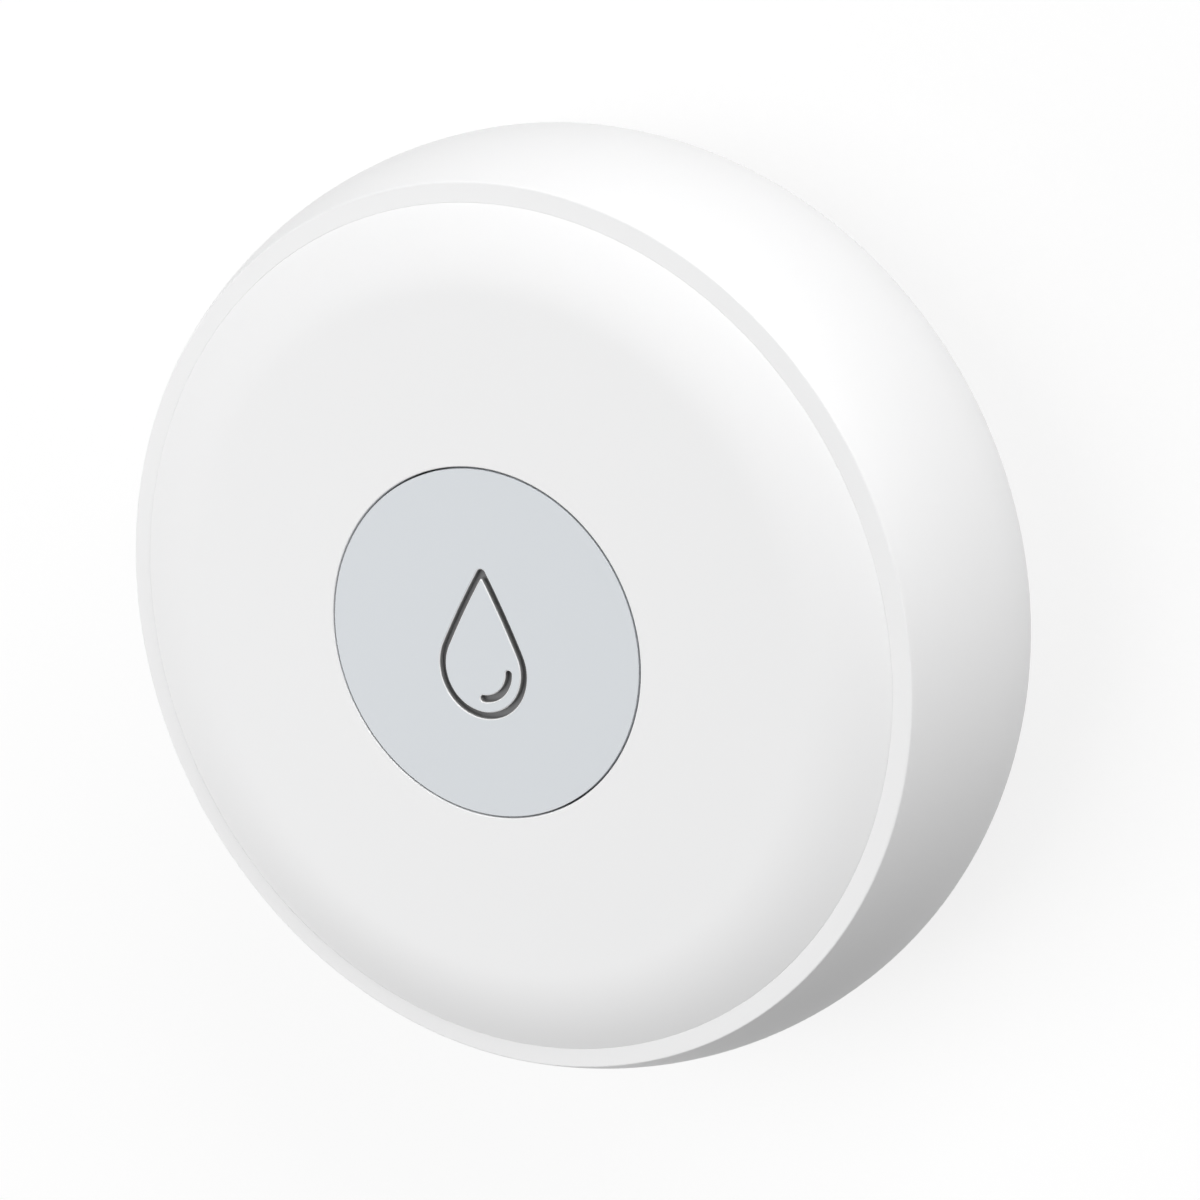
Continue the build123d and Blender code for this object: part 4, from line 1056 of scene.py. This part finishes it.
spring_metal = finish("spring_metal", (0.76, 0.70, 0.58), 0.26, grain=0.1, drift=0.03, rise=0.0005,
                      Metallic=1.0)

dress = {
    "cover_gasket": silicone, "probe_orings": silicone, "door_seal": silicone, "button_membrane": silicone,
    "probe_standoffs": brass, "circuit_board": board_green, "radio_module": board_green,
    "tact_switch": black_plastic, "switch_plunger": black_plastic, "sensing_chip": black_plastic,
    "membrane_clamp": black_plastic, "board_components": black_plastic, "status_leds": lamp_plastic,
    "shield_can": tinned, "antenna_trace": copper, "coin_cell": nickel, "light_guide": clear_guide,
    "negative_contact": spring_metal, "positive_contact": spring_metal,
}
for node, material in dress.items():
    for place in nodes[node].material_slots:
        place.material = material
print(len(dress), "inner nodes dressed")

# %% [markdown]
# ## The floor
#
# The floor is plain and pale. In the photograph the object is on pure white. More light could drive a
# white floor to that, but would bleach the object too. So the floor shows almost white to the camera,
# and to shiny things that mirror it, and still takes a soft shadow. For every other ray it is grey, so
# that it doesn't throw too much light up under the belly.

# %% A material part that only some rays see
def seen_directly(tree):
    """1 for rays from the camera, or by way of gloss or glass, and 0 for all others."""
    path = put(tree, "ShaderNodeLightPath", {}).outputs
    gloss = put(tree, "ShaderNodeMath", {0: path["Is Camera Ray"], 1: path["Is Glossy Ray"]},
                operation="MAXIMUM")
    glass = put(tree, "ShaderNodeMath", {0: gloss.outputs[0], 1: path["Is Transmission Ray"]},
                operation="MAXIMUM")
    return glass.outputs[0]


# %% Floor
FLOOR_REACH = 1.5
FLOOR_BOUNCE = 0.35
FLOOR_SHADE, FLOOR_GLOW = 0.25, 0.77

floor_paint = bpy.data.materials.new("pale_floor")
floor_paint.use_nodes = True
tree = floor_paint.node_tree
tree.nodes.clear()
bounce = put(tree, "ShaderNodeBsdfDiffuse", {"Color": (FLOOR_BOUNCE, FLOOR_BOUNCE, FLOOR_BOUNCE, 1)})
shade_part = put(tree, "ShaderNodeBsdfDiffuse", {"Color": (FLOOR_SHADE, FLOOR_SHADE, FLOOR_SHADE, 1)})
glow = put(tree, "ShaderNodeEmission", {"Color": (1, 1, 1, 1), "Strength": FLOOR_GLOW})
shown = put(tree, "ShaderNodeAddShader", {0: shade_part.outputs[0], 1: glow.outputs[0]})
mixed = put(tree, "ShaderNodeMixShader", {0: seen_directly(tree), 1: bounce.outputs[0], 2: shown.outputs[0]})
put(tree, "ShaderNodeOutputMaterial", {"Surface": mixed.outputs[0]})

floor_mesh = bpy.data.meshes.new("floor")
floor_mesh.from_pydata([(-FLOOR_REACH, -FLOOR_REACH, 0), (FLOOR_REACH, -FLOOR_REACH, 0),
                        (FLOOR_REACH, FLOOR_REACH, 0), (-FLOOR_REACH, FLOOR_REACH, 0)], [], [(0, 1, 2, 3)])
floor_mesh.materials.append(floor_paint)
new_object("floor", floor_mesh)
print("floor", 2 * FLOOR_REACH, "m wide")

# %% [markdown]
# ## The camera
#
# The rim and the button are circles, and show as ellipses in the photograph. A camera could be turned
# by eye until they match, but their centres, sizes and tilt give the place that it looked from, and
# how far its top leans. The place sets the perspective, and the focal length the object's size.

# %% Camera
FOCAL_LENGTH, SENSOR_WIDTH = 85, 36
CAMERA_PLACE = Vector((88.83, 50.71, 158.30)) * MM
CAMERA_AIM = Vector((8.27, 3.99, 21.50)) * MM
PICTURE_UP = Vector((-0.1353, 0.9593, -0.2479))

lens = bpy.data.cameras.new("camera")
lens.lens = FOCAL_LENGTH
lens.sensor_width = SENSOR_WIDTH
camera = new_object("camera", lens)
backward = (CAMERA_PLACE - CAMERA_AIM).normalized()
rightward = PICTURE_UP.cross(backward).normalized()
upward = backward.cross(rightward)
turn = Matrix((rightward, upward, backward)).transposed()
camera.matrix_world = Matrix.Translation(CAMERA_PLACE) @ turn.to_4x4()
bpy.context.scene.camera = camera
print("camera", round((CAMERA_PLACE - CAMERA_AIM).length * 1000), "mm from its aim")

# %% [markdown]
# ## The light
#
# Large square lamps, far larger than the object, wrap it in soft light, strongest from the top of the
# picture. One small lamp would be simpler, but its shadow would be hard, and the photograph has none.
# Low lamps light the side more than the face, high ones the face more than the side, so the two can be
# set apart. The world adds an even level, and is white where it is seen directly.

# %% World
WORLD_LEVEL = 0.11
world = bpy.data.worlds.new("world")
world.use_nodes = True
bpy.context.scene.world = world
tree = world.node_tree
tree.nodes.clear()
even = put(tree, "ShaderNodeBackground", {"Color": (1, 1, 1, 1), "Strength": WORLD_LEVEL})
white = put(tree, "ShaderNodeBackground", {"Color": (1, 1, 1, 1), "Strength": 1.0})
sky = put(tree, "ShaderNodeMixShader", {0: seen_directly(tree), 1: even.outputs[0], 2: white.outputs[0]})
put(tree, "ShaderNodeOutputWorld", {"Surface": sky.outputs[0]})
print("world at", WORLD_LEVEL)


# %% Lamps
def soft_lamp(name, turn, lift, power, distance=1.0, size=0.7):
    """A square lamp that looks at the object, turned from +X and lifted from the floor, in degrees."""
    turn, lift = math.radians(turn), math.radians(lift)
    level = math.cos(lift)
    place = Vector((math.cos(turn) * level, math.sin(turn) * level, math.sin(lift))) * distance
    light = bpy.data.lights.new(name, "AREA")
    light.size = size
    light.energy = power
    lamp = new_object(name, light)
    lamp.matrix_world = Matrix.Translation(place) @ place.to_track_quat("Z", "Y").to_matrix().to_4x4()
    return lamp


LAMPS = {
    "low_lamp_up": (60, 15, 6.3),
    "lamp_up": (75, 25, 0.9),
    "low_lamp_right": (30, 8, 4.6),
    "low_lamp_down": (-105, 8, 0.75),
    "lamp_left": (195, 25, 2.2),
    "lamp_down_left": (225, 45, 1.9),
    "high_lamp_up_left": (150, 68, 4.3),
}
for name, (turn, lift, power) in LAMPS.items():
    soft_lamp(name, turn, lift, power)
print(len(LAMPS), "soft lamps")
bpy.context.scene.view_settings.view_transform = "Standard"
